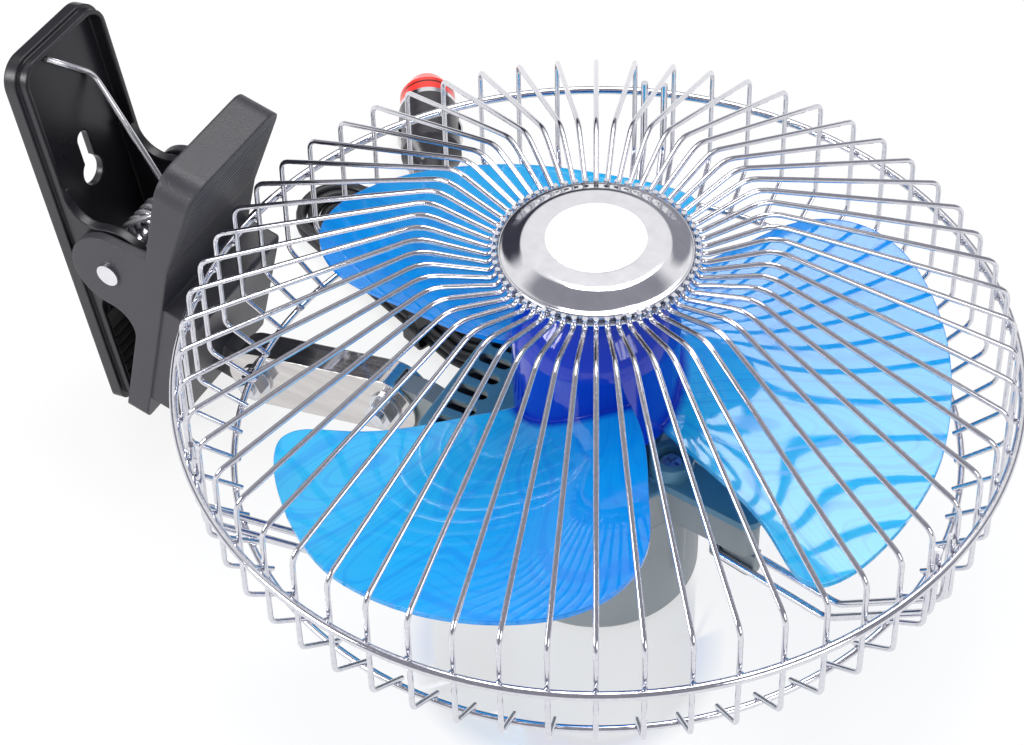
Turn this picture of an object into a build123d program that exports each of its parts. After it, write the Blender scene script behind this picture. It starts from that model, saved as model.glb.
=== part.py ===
"""Clip-on cab fan: wire guard, three-blade impeller, motor housing, tilting link, spring clip, cord and plug.

The fan lies on its back. The origin is the middle of the housing's rear face, +Z is the fan's axis, toward
the centre cap, and the link and the clip stand out toward -X. All lengths are in millimetres.
"""

import os
from math import acos, asin, atan2, cos, degrees, hypot, radians, sin, tan

from build123d import *

os.makedirs("parts", exist_ok=True)

# Fits and cuts
clearance = 0.4  # between pieces that move past each other
seat_gap = 0.05  # between pieces that are seated, welded or glued on one another
running_gap = 0.05  # radial, between a pin and the hole that turns on it
overrun = 3.0  # how far a cut runs past the face it opens

# Guard
wire_count = 60
wire_phase = 3.34  # degrees from +X to the first wire
wire_diameter = 1.5
wire_sides = 6
guard_radius = 113.0  # middle of the wires on the guard's side
outer_ring_diameter = 2.5
outer_ring_height = 81.0
rear_ring_diameter = 2.0
inner_ring_diameter = 1.2
inner_ring_pitch = 2.9
mouth_radius = 26.9  # middle of the wires round the centre opening
mouth_height = 118.7
wire_tip_rise = 3.4
crown_radius = 46.5
crown_rise = 6.7  # of the dome's crown above the wires' bent ends
crown_bend = 5.0
shoulder_inset = 0.75  # of the front rim from the guard's side
shoulder_height = 95.0
shoulder_bend = 4.0
rear_height = 60.1
rear_bend = 3.0
hook_length = 13.0
hook_drop = 9.1  # the hooked ends run inward and to the rear

# Struts and arms
arm_count = 3
arm_phase = -11.66  # degrees; the struts pass between two wires
strut_diameter = 2.2
strut_half_pitch = 3.0
strut_height = 36.0
strut_root_radius = 44.0
strut_knee_inset = 31.0  # of the knee from the guard's side
strut_bend = 6.0
strut_end_rise = 5.5  # cut end above the outer ring
arm_root_width = 13.0
arm_tip_width = 8.6
arm_root_radius = 24.0
arm_tip_radius = 57.0
arm_top = 55.0
arm_bottom = 41.0
arm_plate = 2.7  # thickness of the plate over the arm's lower box
arm_inset = 0.6
arm_edge = 1.2
boss_radius = 6.2
boss_reach = 26.8  # axis of the screw boss from the fan's axis
boss_top = 60.0
boss_recess = 4.4
boss_recess_radius = 4.0
clamp_floor = 1.2
clamp_groove_gap = 0.1
clamp_screw_reach = 53.0
clamp_screw_radius = 1.0
clamp_screw_length = 12.0
clamp_screw_head_radius = 1.9
clamp_screw_head_height = 1.6

# Housing
body_radius = 30.0
body_wall = 2.2
floor_thickness = 2.5
body_edge = 2.5
seam_height = 40.0
cover_top = 53.0
cover_crown_radius = 21.0
cover_crown_top = 56.0
lobe_end = 46.0
lobe_half_width = 23.5
lobe_bottom = 12.0
lobe_corner = 4.0
slot_count = 6
slot_pitch = 6.8
slot_width = 3.8
slot_length = 10.0
slot_middle = 38.0
post_radius = 4.6
post_bottom = 18.0
post_hole_radius = 1.5
cover_screw_length = 34.0
cover_screw_head_radius = 3.6
cover_screw_head_height = 2.2
cover_screw_cross_width = 0.9
cover_screw_cross_length = 4.4
cover_screw_cross_depth = 1.1
lug_width = 7.0
lug_radius = 8.4
lug_root_height = 24.0

# Motor
can_radius = 18.0
can_wall = 1.2
can_bottom = 7.0
can_top = 46.0
can_boss_radius = 6.0
can_boss_top = 50.0
end_cap_thickness = 3.5
end_cap_boss_radius = 5.0
magnet_inner_radius = 13.4
magnet_length = 26.0
magnet_spread = 130.0
magnet_bottom = 15.0
core_radius = 12.8
core_length = 18.0
core_bottom = 19.0
core_slots = 5
core_slot_width = 3.6
core_slot_inner = 5.4
core_neck_width = 1.4
core_slot_lip = 1.3
winding_gap = 0.15
winding_inner = 5.8
winding_outer = 10.6
winding_overhang = 2.6
commutator_radius = 4.0
commutator_bottom = 10.2
commutator_length = 5.6
brush_width = 2.6
brush_height = 3.0
brush_length = 8.0
shaft_radius = 1.6
shaft_bottom = 3.2
shaft_cover = 9.0  # of the hub over the shaft's end
bush_radius = 3.6

# Impeller
hub_radius = 23.0
hub_bottom = 66.0
hub_gap = 6.7  # from the hub's top to the wires round the mouth
dome_rise = 18.0  # of the hub's top over its shoulder
hub_wall = 2.0
hub_boss_radius = 5.0
hub_boss_bottom = 70.0
blade_count = 3
blade_phase = 30.0
blade_thickness = 1.6
tip_gap = 16.0  # from the blade tips to the middle of the guard's wires
blade_mid_height = 75.6
blade_root_swing = 7.4
blade_tip_swing = 12.4
blade_wave = 1.9
blade_low_turn = -43.0  # degrees from the blade's middle line, at the hub
blade_lowest_turn = -55.0
blade_low_edge_shares = [(0.3, -44.3), (0.42, -46.5), (0.545, -47.7), (0.71, -50.8), (0.81, -53.2)]
blade_corner_shares = [(0.866, -53.5), (0.906, -52.2), (0.928, -49.4), (0.946, -43.7)]
blade_tip_shares = [(0.956, -37.8), (0.975, -27.9), (0.991, -19.7), (0.997, -10.0), (1.0, 0.0), (0.996, 9.0)]
blade_high_edge_shares = [(0.981, 18.5), (0.945, 26.2), (0.868, 33.0), (0.755, 37.8), (0.6, 40.8), (0.45, 45.0)]
blade_high_turn = 51.0
blade_rows = 7
blade_columns = 13

# Centre cap
cap_plateau_radius = 19.4
cap_rise = 1.75  # of the flat top above the rim
cap_rim_radius = 25.4
cap_sheet = 0.6
cap_shoulder_share = 0.55
cap_bulge_share = 0.7
tab_count = 4
tab_width = 5.0
tab_length = 1.7
label_radius = 13.4
label_thickness = 0.3

# Link
tilt_bolt_x = -67.0
tilt_bolt_z = 34.0
link_inset = 66.0  # the link is that much shorter than the guard's radius, so the clip stays clear of the guard
link_slope = 12.0  # degrees, falling toward the clip
link_height = 20.0
link_width = 10.0
link_sheet = 1.2
bolt_radius = 2.45
bolt_head_radius = 4.6
bolt_head_height = 3.4
nut_height = 4.0
bolt_end = 1.2
washer_radius = 5.2
washer_thickness = 0.9

# Clip
front_lean = 13.93  # degrees from upright, the top toward the fan
front_length = 106.0
front_width = 46.6
front_depth = 7.4
flare_low = 70.0  # where the thumb grip starts to lean out
flare_out = 4.5
jaw_floor = 2.5
jaw_rim = 2.6
jaw_corner = 8.0
jaw_foot_corner = 3.0
clip_bolt_reach = 25.4  # from the front jaw's outer face
clip_bolt_rise = 21.7  # above the front jaw's foot
block_thickness = 12.0
block_low = 10.0
block_high = 53.0
block_margin = 0.6
tongue_upper = 4.5  # above the bolt; the link's web swings past it
block_edge = 1.5
pivot_rise = 56.2
pivot_depth = 18.7
ear_radius = 13.0
ear_thickness = 3.0
ear_low = 44.0
ear_high = 71.0
ear_sweep = 9.0  # hollow fillet from an ear to the rim
ear_foot = 12.0
pin_radius = 2.5
pin_head_radius = 3.6
pin_head_height = 1.0
rear_lean = -9.1
rear_length = 124.5
rear_width = 40.0
rear_depth = 7.0
rear_step = 4.0  # height of the broad base below the stepped wall
rear_inset = 1.2
rear_pivot_rise = 57.9
rear_pivot_reach = 19.6
rear_ear_radius = 12.6
rear_ear_low = 46.8
rear_ear_high = 69.0
keyhole_rise = 75.0
keyhole_radius = 4.5
keyhole_neck_radius = 2.5
keyhole_pitch = 11.5
pad_low = 6.0
pad_high = 30.0
pad_margin = 0.3
pad_teeth = 7
pad_tooth_depth = 1.1

# Torsion spring
spring_wire = 1.8
spring_radius = 6.0
spring_half_width = 7.0
spring_turns = 5
spring_rear_rise = 103.0
spring_front_rise = 86.0
spring_hook = 22.0
spring_gap = 0.35

# Switch
switch_x = -37.0
switch_frame_length = 17.0  # along Y
switch_frame_width = 11.0
switch_flange = 1.4
switch_flange_height = 1.2
switch_body_height = 11.0
rocker_radius = 5.0
rocker_width = 5.0
rocker_face = 3.95  # pressed half, below the axle
rocker_slope = 18.0  # degrees between the two halves of the face
rocker_axle_radius = 1.2
rocker_top = 2.0

# Cord
cord_diameter = 3.4
relief_x = -36.0
relief_z = 17.0
relief_length = 12.0
relief_root_radius = 4.6
relief_tip_radius = 3.0
relief_flange_radius = 5.6
relief_flange_thickness = 1.5
hank_east = (-72.0, 61.0)
hank_heading = 158.6  # degrees
hank_run = 74.0
hank_loops = 3
hank_pitch = 3.9
hank_least_radius = 7.0
hank_height = 3.0
hank_end_run = 26.0
lead_heights = [17.0, 15.6, 10.6, 5.4]
lead_points = [(-36.0, 46.0), (-38.0, 58.0), (-45.0, 67.6)]
lead_last_run = 11.0
tail_first_run = 9.0
tail_last_run = 9.0
tie_along = 14.0
tie_width = 7.0
tie_thickness = 0.9
tie_gap = 0.35

# Plug, lying on the table
plug_tip = (-147.5, 156.0)
plug_heading = 122.6  # degrees, from the cord end to the nose
plug_height = 10.5
plug_length = 56.5
plug_radius = 10.3
plug_tail_radius = 3.4
plug_neck_radius = 4.6
plug_neck = 11.0
plug_shoulder = 17.0
plug_body_end = 39.0
plug_band_length = 2.4
plug_band_radius = 10.0
plug_nose_length = 12.0
plug_nose_root_radius = 9.6
plug_nose_tip_radius = 6.4
plug_nose_wall = 1.6
plug_tip_radius = 4.2
plug_tip_flange_radius = 5.4
plug_tip_flange = 1.6
plug_tip_out = 3.2
contact_low = 21.0
contact_high = 35.0
contact_width = 4.0
contact_sheet = 0.6
contact_bulge = 1.0
contact_pocket = 2.2


def on_circle(radius, angle):
    """Point on a circle about the fan's axis; the angle is in degrees."""
    return (radius * cos(radians(angle)), radius * sin(radians(angle)))


def cut_bend(before, corner, after, cut):
    """Two points that cut a route's corner, as far from it on one side as on the other."""
    middle = Vector(*corner)
    back = (Vector(*before) - middle).normalized()
    ahead = (Vector(*after) - middle).normalized()
    return [middle + back * cut, middle + ahead * cut]


def biarc_edges(points, directions):
    """Edges through the points along the directions: lines where straight, pairs of tangent arcs elsewhere."""
    edges = []
    for start, end, leave, arrive in zip(points, points[1:], directions, directions[1:]):
        chord = end - start
        if leave.cross(chord).length + arrive.cross(chord).length < chord.length * straight_share:
            edges.append(Edge.make_line(start, end))
            continue
        spread = leave + arrive
        a = 2 * (leave.dot(arrive) - 1)
        b = 2 * chord.dot(spread)
        c = chord.dot(chord)
        if abs(a) < straight_share:
            reach = c / b
        else:
            reach = (b - (b * b + 4 * -a * c) ** 0.5) / (2 * a)
        near = start + leave * reach
        far = end - arrive * reach
        middle = (near + far) * 0.5
        edges.append(Edge.make_tangent_arc(start, leave, middle))
        edges.append(Edge.make_tangent_arc(middle, (far - near).normalized(), end))
    return edges


straight_share = 1e-6  # how far from straight a stretch may be, as a share of its length

# Guard wires: one bent wire, copied round the axis
hook_radius = guard_radius - hook_length
hook_height = rear_height - hook_drop
shoulder_radius = guard_radius - shoulder_inset
crown_height = mouth_height + crown_rise
mouth_point = (mouth_radius, mouth_height)
crown_point = (crown_radius, crown_height)
shoulder_point = (shoulder_radius, shoulder_height)
corner_point = (guard_radius, rear_height)
hook_point = (hook_radius, hook_height)
wire_tip = (mouth_radius, mouth_height + wire_tip_rise)
wire_route = [Vector(*wire_tip), Vector(*mouth_point)]
wire_route += cut_bend(mouth_point, crown_point, shoulder_point, crown_bend)
wire_route += cut_bend(crown_point, shoulder_point, corner_point, shoulder_bend)
wire_route += cut_bend(shoulder_point, corner_point, hook_point, rear_bend)
wire_route += [Vector(*hook_point)]

with BuildPart() as guard_wire:
    with BuildLine(Plane.XZ) as guard_wire_line:
        Polyline(*[(point.X, point.Y) for point in wire_route])
    with BuildSketch(Plane(origin=(mouth_radius, 0, wire_tip[1]), x_dir=(1, 0, 0), z_dir=(0, 0, -1))):
        RegularPolygon(radius=wire_diameter / 2, side_count=wire_sides)
    sweep(path=guard_wire_line.wires()[0], transition=Transition.RIGHT)

wire_places = PolarLocations(0, wire_count, start_angle=wire_phase)
guard_wires = Compound([place * guard_wire.part.solids()[0] for place in wire_places])
guard_wires.label = "guard_wires"
export_step(guard_wires, "parts/guard_wires.step")

# Outer ring: heavy rod welded outside the wires
outer_ring_radius = guard_radius + wire_diameter / 2 + seat_gap + outer_ring_diameter / 2
with BuildPart(Plane.XY.offset(outer_ring_height)) as guard_outer_ring:
    Torus(outer_ring_radius, outer_ring_diameter / 2)
guard_outer_ring.part.label = "guard_outer_ring"
export_step(guard_outer_ring.part, "parts/guard_outer_ring.step")

# Rear ring: welded outside the hooked wire ends
hook_span = hypot(hook_length, hook_drop)
hook_in = hook_length / hook_span
hook_down = hook_drop / hook_span
rear_ring_offset = wire_diameter / 2 + seat_gap + rear_ring_diameter / 2
rear_ring_radius = hook_radius + hook_in * rear_ring_diameter / 2 + hook_down * rear_ring_offset
rear_ring_height = hook_height + hook_down * rear_ring_diameter / 2 - hook_in * rear_ring_offset
with BuildPart(Plane.XY.offset(rear_ring_height)) as guard_rear_ring:
    Torus(rear_ring_radius, rear_ring_diameter / 2)
guard_rear_ring.part.label = "guard_rear_ring"
export_step(guard_rear_ring.part, "parts/guard_rear_ring.step")

# Inner rings: two thin rings inside the upright wire ends
inner_ring_radius = mouth_radius - wire_diameter / 2 - seat_gap - inner_ring_diameter / 2
with BuildPart() as guard_inner_rings:
    with Locations((0, 0, mouth_height), (0, 0, mouth_height + inner_ring_pitch)):
        Torus(inner_ring_radius, inner_ring_diameter / 2)
guard_inner_rings.part.label = "guard_inner_rings"
export_step(guard_inner_rings.part, "parts/guard_inner_rings.step")

# Struts: hairpins of rod, from the arm clamps over the rear ring to the outer ring
strut_top_radius = guard_radius + wire_diameter / 2 - strut_diameter / 2
strut_end = outer_ring_height + strut_end_rise
strut_knee_radius = guard_radius - strut_knee_inset
ring_ahead = rear_ring_radius - strut_knee_radius
ring_above = rear_ring_height - strut_height
ring_reach = rear_ring_diameter / 2 + seat_gap + strut_diameter / 2
strut_slope = atan2(ring_above, ring_ahead) + asin(ring_reach / hypot(ring_ahead, ring_above))
strut_rise = tan(strut_slope)
strut_corner = strut_height + strut_rise * (strut_top_radius - strut_knee_radius)
strut_hairpin = strut_half_pitch * 0.95
strut_side = [
    (strut_top_radius, strut_end),
    (strut_top_radius, strut_corner),
    (strut_knee_radius, strut_height),
    (strut_root_radius, strut_height),
]
strut_route = [(r, strut_half_pitch, z) for r, z in strut_side]
strut_route += [(r, -strut_half_pitch, z) for r, z in reversed(strut_side)]
strut_radii = [strut_bend, strut_bend, strut_hairpin, strut_hairpin, strut_bend, strut_bend]

with BuildPart() as guard_strut:
    with BuildLine() as guard_strut_line:
        FilletPolyline(*strut_route, radius=strut_radii)
    with BuildSketch(Plane(origin=strut_route[0], x_dir=(1, 0, 0), z_dir=(0, 0, -1))):
        RegularPolygon(radius=strut_diameter / 2, side_count=wire_sides)
    sweep(path=guard_strut_line.wires()[0], transition=Transition.RIGHT)

arm_places = PolarLocations(0, arm_count, start_angle=arm_phase)
guard_struts = Compound([place * guard_strut.part.solids()[0] for place in arm_places])
guard_struts.label = "guard_struts"
export_step(guard_struts, "parts/guard_struts.step")

# Centre cap: pressed sheet with a flat top, a skirt inside the inner rings and bent tabs under them
cap_rim_bottom = mouth_height + inner_ring_pitch + inner_ring_diameter / 2 + seat_gap
skirt_radius = inner_ring_radius - inner_ring_diameter / 2 - seat_gap
tab_top = mouth_height - inner_ring_diameter / 2 - seat_gap
cap_rim_top = cap_rim_bottom + cap_sheet
cap_top = cap_rim_top + cap_rise
cap_mid_radius = cap_plateau_radius + (cap_rim_radius - cap_plateau_radius) * cap_shoulder_share
cap_mid_height = cap_rim_top + cap_rise * cap_bulge_share

with BuildPart() as centre_cap:
    with BuildSketch(Plane.XZ):
        with BuildLine():
            Polyline((0, cap_top - cap_sheet), (0, cap_top), (cap_plateau_radius, cap_top))
            ThreePointArc(
                (cap_plateau_radius, cap_top),
                (cap_mid_radius, cap_mid_height),
                (cap_rim_radius, cap_rim_top),
            )
            Polyline(
                (cap_rim_radius, cap_rim_top),
                (cap_rim_radius, cap_rim_bottom),
                (skirt_radius, cap_rim_bottom),
                (skirt_radius, tab_top - cap_sheet),
                (skirt_radius - cap_sheet, tab_top - cap_sheet),
                (skirt_radius - cap_sheet, cap_rim_top),
            )
            ThreePointArc(
                (skirt_radius - cap_sheet, cap_rim_top),
                (cap_mid_radius - cap_sheet, cap_mid_height - cap_sheet),
                (cap_plateau_radius, cap_top - cap_sheet),
            )
            Line((cap_plateau_radius, cap_top - cap_sheet), (0, cap_top - cap_sheet))
        make_face()
    revolve(axis=Axis.Z)
    with BuildSketch(Plane.XY.offset(tab_top - cap_sheet)):
        with PolarLocations(skirt_radius, tab_count, start_angle=45):
            Rectangle(tab_length, tab_width)
        Circle(skirt_radius - cap_sheet, mode=Mode.SUBTRACT)
    extrude(amount=cap_sheet)
centre_cap.part.label = "centre_cap"
export_step(centre_cap.part, "parts/centre_cap.step")

# Cap label: plain white disc
with BuildPart(Plane.XY.offset(cap_top)) as cap_label:
    Cylinder(label_radius, label_thickness, align=(Align.CENTER, Align.CENTER, Align.MIN))
cap_label.part.label = "cap_label"
export_step(cap_label.part, "parts/cap_label.step")


# Impeller: three twisted blades moulded on a domed hub
hub_top = mouth_height - hub_gap
hub_shoulder = hub_top - dome_rise
shaft_top = hub_top - shaft_cover
tip_radius = guard_radius - tip_gap


def blade_point(radius, turn):
    """Point of the blade's lower face; the turn is in degrees from the blade's middle line."""
    share = (radius - hub_radius) / (tip_radius - hub_radius)
    swing = blade_root_swing + (blade_tip_swing - blade_root_swing) * share
    height = blade_mid_height + swing * sin(radians(turn) * blade_wave)
    x, y = on_circle(radius, turn)
    return Vector(x, y, height)


blade_root = hub_radius - hub_wall / 2
blade_span = tip_radius + overrun - blade_root + overrun
blade_sweep = blade_high_turn - blade_lowest_turn
blade_margin = blade_sweep / blade_columns
blade_rows_of_points = []
for row in range(blade_rows):
    row_radius = blade_root - overrun + blade_span * row / (blade_rows - 1)
    row_points = []
    for column in range(blade_columns):
        share = column / (blade_columns - 1)
        row_turn = blade_lowest_turn - blade_margin + (blade_sweep + 2 * blade_margin) * share
        row_points.append(blade_point(row_radius, row_turn))
    blade_rows_of_points.append(row_points)
blade_face = Face.make_surface_from_array_of_points(blade_rows_of_points)

blade_edge_shares = blade_low_edge_shares + blade_corner_shares + blade_tip_shares + blade_high_edge_shares
with BuildSketch() as blade_outline:
    with BuildLine():
        RadiusArc(
            on_circle(blade_root, blade_high_turn),
            on_circle(blade_root, blade_low_turn),
            blade_root,
        )
        Spline(
            on_circle(blade_root, blade_low_turn),
            *[on_circle(tip_radius * share, turn) for share, turn in blade_edge_shares],
            on_circle(blade_root, blade_high_turn),
        )
    make_face()

with BuildPart() as blade:
    thicken(blade_face, amount=blade_thickness, normal_override=(0, 0, 1))
    extrude(blade_outline.sketch, amount=hub_top, mode=Mode.INTERSECT)

dome_radius = (hub_radius**2 + dome_rise**2) / (2 * dome_rise)
dome_centre = hub_top - dome_radius
dome_half = atan2(hub_radius, hub_shoulder - dome_centre) / 2

with BuildPart() as impeller:
    with BuildSketch(Plane.XZ):
        with BuildLine():
            Line((0, hub_bottom), (0, hub_top))
            ThreePointArc(
                (0, hub_top),
                (dome_radius * sin(dome_half), dome_centre + dome_radius * cos(dome_half)),
                (hub_radius, hub_shoulder),
            )
            Polyline((hub_radius, hub_shoulder), (hub_radius, hub_bottom), (0, hub_bottom))
        make_face()
    revolve(axis=Axis.Z)
    with BuildSketch(Plane.XZ):
        with BuildLine():
            Polyline(
                (0, hub_bottom - overrun),
                (hub_radius - hub_wall, hub_bottom - overrun),
                (hub_radius - hub_wall, hub_shoulder),
                (hub_boss_radius, hub_top - 2 * hub_wall),
                (hub_boss_radius, hub_boss_bottom),
                (0, hub_boss_bottom),
                close=True,
            )
        make_face()
    revolve(axis=Axis.Z, mode=Mode.SUBTRACT)
    with PolarLocations(0, blade_count, start_angle=blade_phase):
        add(blade.part)
    with BuildSketch(Plane.XY.offset(hub_boss_bottom)):
        Circle(shaft_radius + seat_gap)
    extrude(amount=shaft_top + seat_gap - hub_boss_bottom, mode=Mode.SUBTRACT)
impeller.part.label = "impeller"
export_step(impeller.part, "parts/impeller.step")

# Motor shaft
with BuildPart(Plane.XY.offset(shaft_bottom)) as motor_shaft:
    Cylinder(shaft_radius, shaft_top - shaft_bottom, align=(Align.CENTER, Align.CENTER, Align.MIN))
motor_shaft.part.label = "motor_shaft"
export_step(motor_shaft.part, "parts/motor_shaft.step")

# Motor can: drawn steel cup with a boss for the front bush
with BuildPart() as motor_can:
    with BuildSketch(Plane.XZ):
        with BuildLine():
            Polyline(
                (can_radius - can_wall, can_bottom),
                (can_radius, can_bottom),
                (can_radius, can_top),
                (can_boss_radius, can_top),
                (can_boss_radius, can_boss_top),
                (bush_radius + seat_gap, can_boss_top),
                (bush_radius + seat_gap, can_top - can_wall),
                (can_radius - can_wall, can_top - can_wall),
                close=True,
            )
        make_face()
    revolve(axis=Axis.Z)
motor_can.part.label = "motor_can"
export_step(motor_can.part, "parts/motor_can.step")

# Motor end cap: plastic plug in the open end of the can
end_cap_bottom = can_bottom - end_cap_thickness / 2
with BuildPart() as motor_end_cap:
    with BuildSketch(Plane.XZ):
        with BuildLine():
            Polyline(
                (bush_radius + seat_gap, floor_thickness + seat_gap),
                (end_cap_boss_radius, floor_thickness + seat_gap),
                (end_cap_boss_radius, end_cap_bottom),
                (can_radius, end_cap_bottom),
                (can_radius, can_bottom - seat_gap),
                (can_radius - can_wall - seat_gap, can_bottom - seat_gap),
                (can_radius - can_wall - seat_gap, end_cap_bottom + end_cap_thickness),
                (bush_radius + seat_gap, end_cap_bottom + end_cap_thickness),
                close=True,
            )
        make_face()
    revolve(axis=Axis.Z)
motor_end_cap.part.label = "motor_end_cap"
export_step(motor_end_cap.part, "parts/motor_end_cap.step")

# Magnets: two arcs against the can's wall
with BuildPart() as motor_magnets:
    with BuildSketch(Plane.XY.offset(magnet_bottom)):
        Circle(can_radius - can_wall - seat_gap)
        Circle(magnet_inner_radius, mode=Mode.SUBTRACT)
        for side in (0, 180):
            gap_middle = on_circle(can_radius, side + 90)
            gap_half = can_radius * tan(radians((180 - magnet_spread) / 2))
            with BuildLine():
                Polyline(
                    (0, 0),
                    (gap_half, gap_middle[1]),
                    (-gap_half, gap_middle[1]),
                    close=True,
                )
            make_face(mode=Mode.SUBTRACT)
    extrude(amount=magnet_length)
motor_magnets.part.label = "motor_magnets"
export_step(motor_magnets.part, "parts/motor_magnets.step")

# Armature core: slotted stack on the shaft
slot_outer = core_radius - core_slot_lip
with BuildPart() as armature_core:
    with BuildSketch(Plane.XY.offset(core_bottom)):
        Circle(core_radius)
        Circle(shaft_radius + seat_gap, mode=Mode.SUBTRACT)
        with PolarLocations((core_slot_inner + slot_outer) / 2, core_slots):
            Rectangle(slot_outer - core_slot_inner, core_slot_width, mode=Mode.SUBTRACT)
        with PolarLocations(core_radius, core_slots):
            Rectangle(2 * core_slot_lip + seat_gap, core_neck_width, mode=Mode.SUBTRACT)
    extrude(amount=core_length)
armature_core.part.label = "armature_core"
export_step(armature_core.part, "parts/armature_core.step")

# Armature windings: copper in the slots, joined by the end turns
with BuildPart() as armature_windings:
    with BuildSketch(Plane.XY.offset(core_bottom - winding_overhang)):
        with PolarLocations((winding_inner + winding_outer) / 2, core_slots):
            Rectangle(winding_outer - winding_inner, core_slot_width - 2 * winding_gap)
    extrude(amount=core_length + 2 * winding_overhang)
    for end in (core_bottom - winding_overhang, core_bottom + core_length + winding_gap):
        with BuildSketch(Plane.XY.offset(end)):
            Circle(winding_outer)
            Circle(winding_inner, mode=Mode.SUBTRACT)
        extrude(amount=winding_overhang - winding_gap)
armature_windings.part.label = "armature_windings"
export_step(armature_windings.part, "parts/armature_windings.step")

# Commutator
with BuildPart() as commutator:
    with BuildSketch(Plane.XY.offset(commutator_bottom)):
        Circle(commutator_radius)
        Circle(shaft_radius + seat_gap, mode=Mode.SUBTRACT)
    extrude(amount=commutator_length)
commutator.part.label = "commutator"
export_step(commutator.part, "parts/commutator.step")

# Brushes: two carbon blocks on the end cap, at the commutator
brush_reach = commutator_radius + 2 * running_gap
brush_bottom = end_cap_bottom + end_cap_thickness + seat_gap
with BuildPart() as motor_brushes:
    with BuildSketch(Plane.XY.offset(brush_bottom)):
        with PolarLocations(brush_reach + brush_length / 2, 2):
            Rectangle(brush_length, brush_width)
    extrude(amount=commutator_bottom - brush_bottom + brush_height)
motor_brushes.part.label = "motor_brushes"
export_step(motor_brushes.part, "parts/motor_brushes.step")

# Bushes: sintered sleeves that carry the shaft
with BuildPart() as front_bush:
    with BuildSketch(Plane.XY.offset(can_top - can_wall)):
        Circle(bush_radius)
        Circle(shaft_radius + running_gap, mode=Mode.SUBTRACT)
    extrude(amount=can_boss_top - can_top + can_wall)
front_bush.part.label = "front_bush"
export_step(front_bush.part, "parts/front_bush.step")

with BuildPart() as rear_bush:
    with BuildSketch(Plane.XY.offset(floor_thickness + seat_gap)):
        Circle(bush_radius)
        Circle(shaft_radius + running_gap, mode=Mode.SUBTRACT)
    extrude(amount=end_cap_bottom + end_cap_thickness - floor_thickness - seat_gap)
rear_bush.part.label = "rear_bush"
export_step(rear_bush.part, "parts/rear_bush.step")

# Rear housing: round cup with a lobe, screw posts and the lug that the link's bolt passes
lobe_length = lobe_end - body_wall
switch_hole_length = switch_frame_length - 2 * switch_flange
switch_hole_width = switch_frame_width - 2 * switch_flange

with BuildPart() as rear_housing:
    with BuildSketch():
        Circle(body_radius)
    extrude(amount=seam_height)
    fillet(rear_housing.faces().sort_by(Axis.Z)[0].edges(), body_edge)
    with BuildSketch(Plane.XY.offset(lobe_bottom)):
        with Locations((-lobe_end / 2, 0)):
            RectangleRounded(lobe_end, 2 * lobe_half_width, lobe_corner)
    extrude(amount=seam_height - lobe_bottom)
    with BuildSketch(Plane.XY.offset(post_bottom)):
        with PolarLocations(boss_reach, arm_count, start_angle=arm_phase):
            Circle(post_radius)
    extrude(amount=seam_height - post_bottom)
    with BuildSketch(Plane.XY.offset(floor_thickness)):
        Circle(body_radius - body_wall)
    extrude(amount=seam_height, mode=Mode.SUBTRACT)
    with BuildSketch(Plane.XY.offset(lobe_bottom + floor_thickness)):
        with Locations((-lobe_length / 2, 0)):
            RectangleRounded(lobe_length, 2 * (lobe_half_width - body_wall), lobe_corner - body_wall)
    extrude(amount=seam_height, mode=Mode.SUBTRACT)
    with BuildSketch(Plane.XY.offset(post_bottom)):
        with PolarLocations(boss_reach, arm_count, start_angle=arm_phase):
            Circle(post_radius)
    extrude(amount=seam_height - post_bottom)
    with BuildSketch(Plane.XY.offset(post_bottom + body_wall)):
        with PolarLocations(boss_reach, arm_count, start_angle=arm_phase):
            Circle(post_hole_radius + seat_gap)
    extrude(amount=seam_height, mode=Mode.SUBTRACT)
    with BuildSketch(Plane.XZ):
        with Locations((tilt_bolt_x, tilt_bolt_z)):
            Circle(lug_radius)
        with BuildLine():
            Polyline(
                (tilt_bolt_x, tilt_bolt_z + lug_radius),
                (tilt_bolt_x + 1.5 * lug_radius, tilt_bolt_z + lug_radius),
                (-lobe_end - clearance, seam_height),
                (-lobe_length, seam_height),
                (-lobe_length, seam_height - lug_root_height),
                (tilt_bolt_x + 1.5 * lug_radius, tilt_bolt_z - lug_radius),
                (tilt_bolt_x, tilt_bolt_z - lug_radius),
                close=True,
            )
        make_face()
        with Locations((tilt_bolt_x, tilt_bolt_z)):
            Circle(bolt_radius + running_gap, mode=Mode.SUBTRACT)
    extrude(amount=lug_width / 2, both=True)
    with BuildSketch(Plane.XY.offset(lobe_bottom - overrun)):
        with Locations((switch_x, 0)):
            Rectangle(switch_hole_width + 2 * seat_gap, switch_hole_length + 2 * seat_gap)
    extrude(amount=floor_thickness + 2 * overrun, mode=Mode.SUBTRACT)
    with BuildSketch(Plane.XZ.offset(-lobe_half_width - overrun)):
        with Locations((relief_x, relief_z)):
            Circle(relief_tip_radius + seat_gap)
    extrude(amount=body_wall + 2 * overrun, mode=Mode.SUBTRACT)
rear_housing.part.label = "rear_housing"
export_step(rear_housing.part, "parts/rear_housing.step")

# Front cover: shell over the motor, with the lobe's slots, three arms and their screw bosses
cover_seam = seam_height + seat_gap
cover_inside = cover_top - body_wall
can_hole = can_boss_radius + seat_gap
screw_seat = boss_top - boss_recess
groove_width = strut_diameter + 2 * clamp_groove_gap
clamp_top = arm_bottom - seat_gap
clamp_bottom = strut_height - groove_width / 2 - clamp_floor
clamp_height = clamp_top - clamp_bottom


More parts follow.
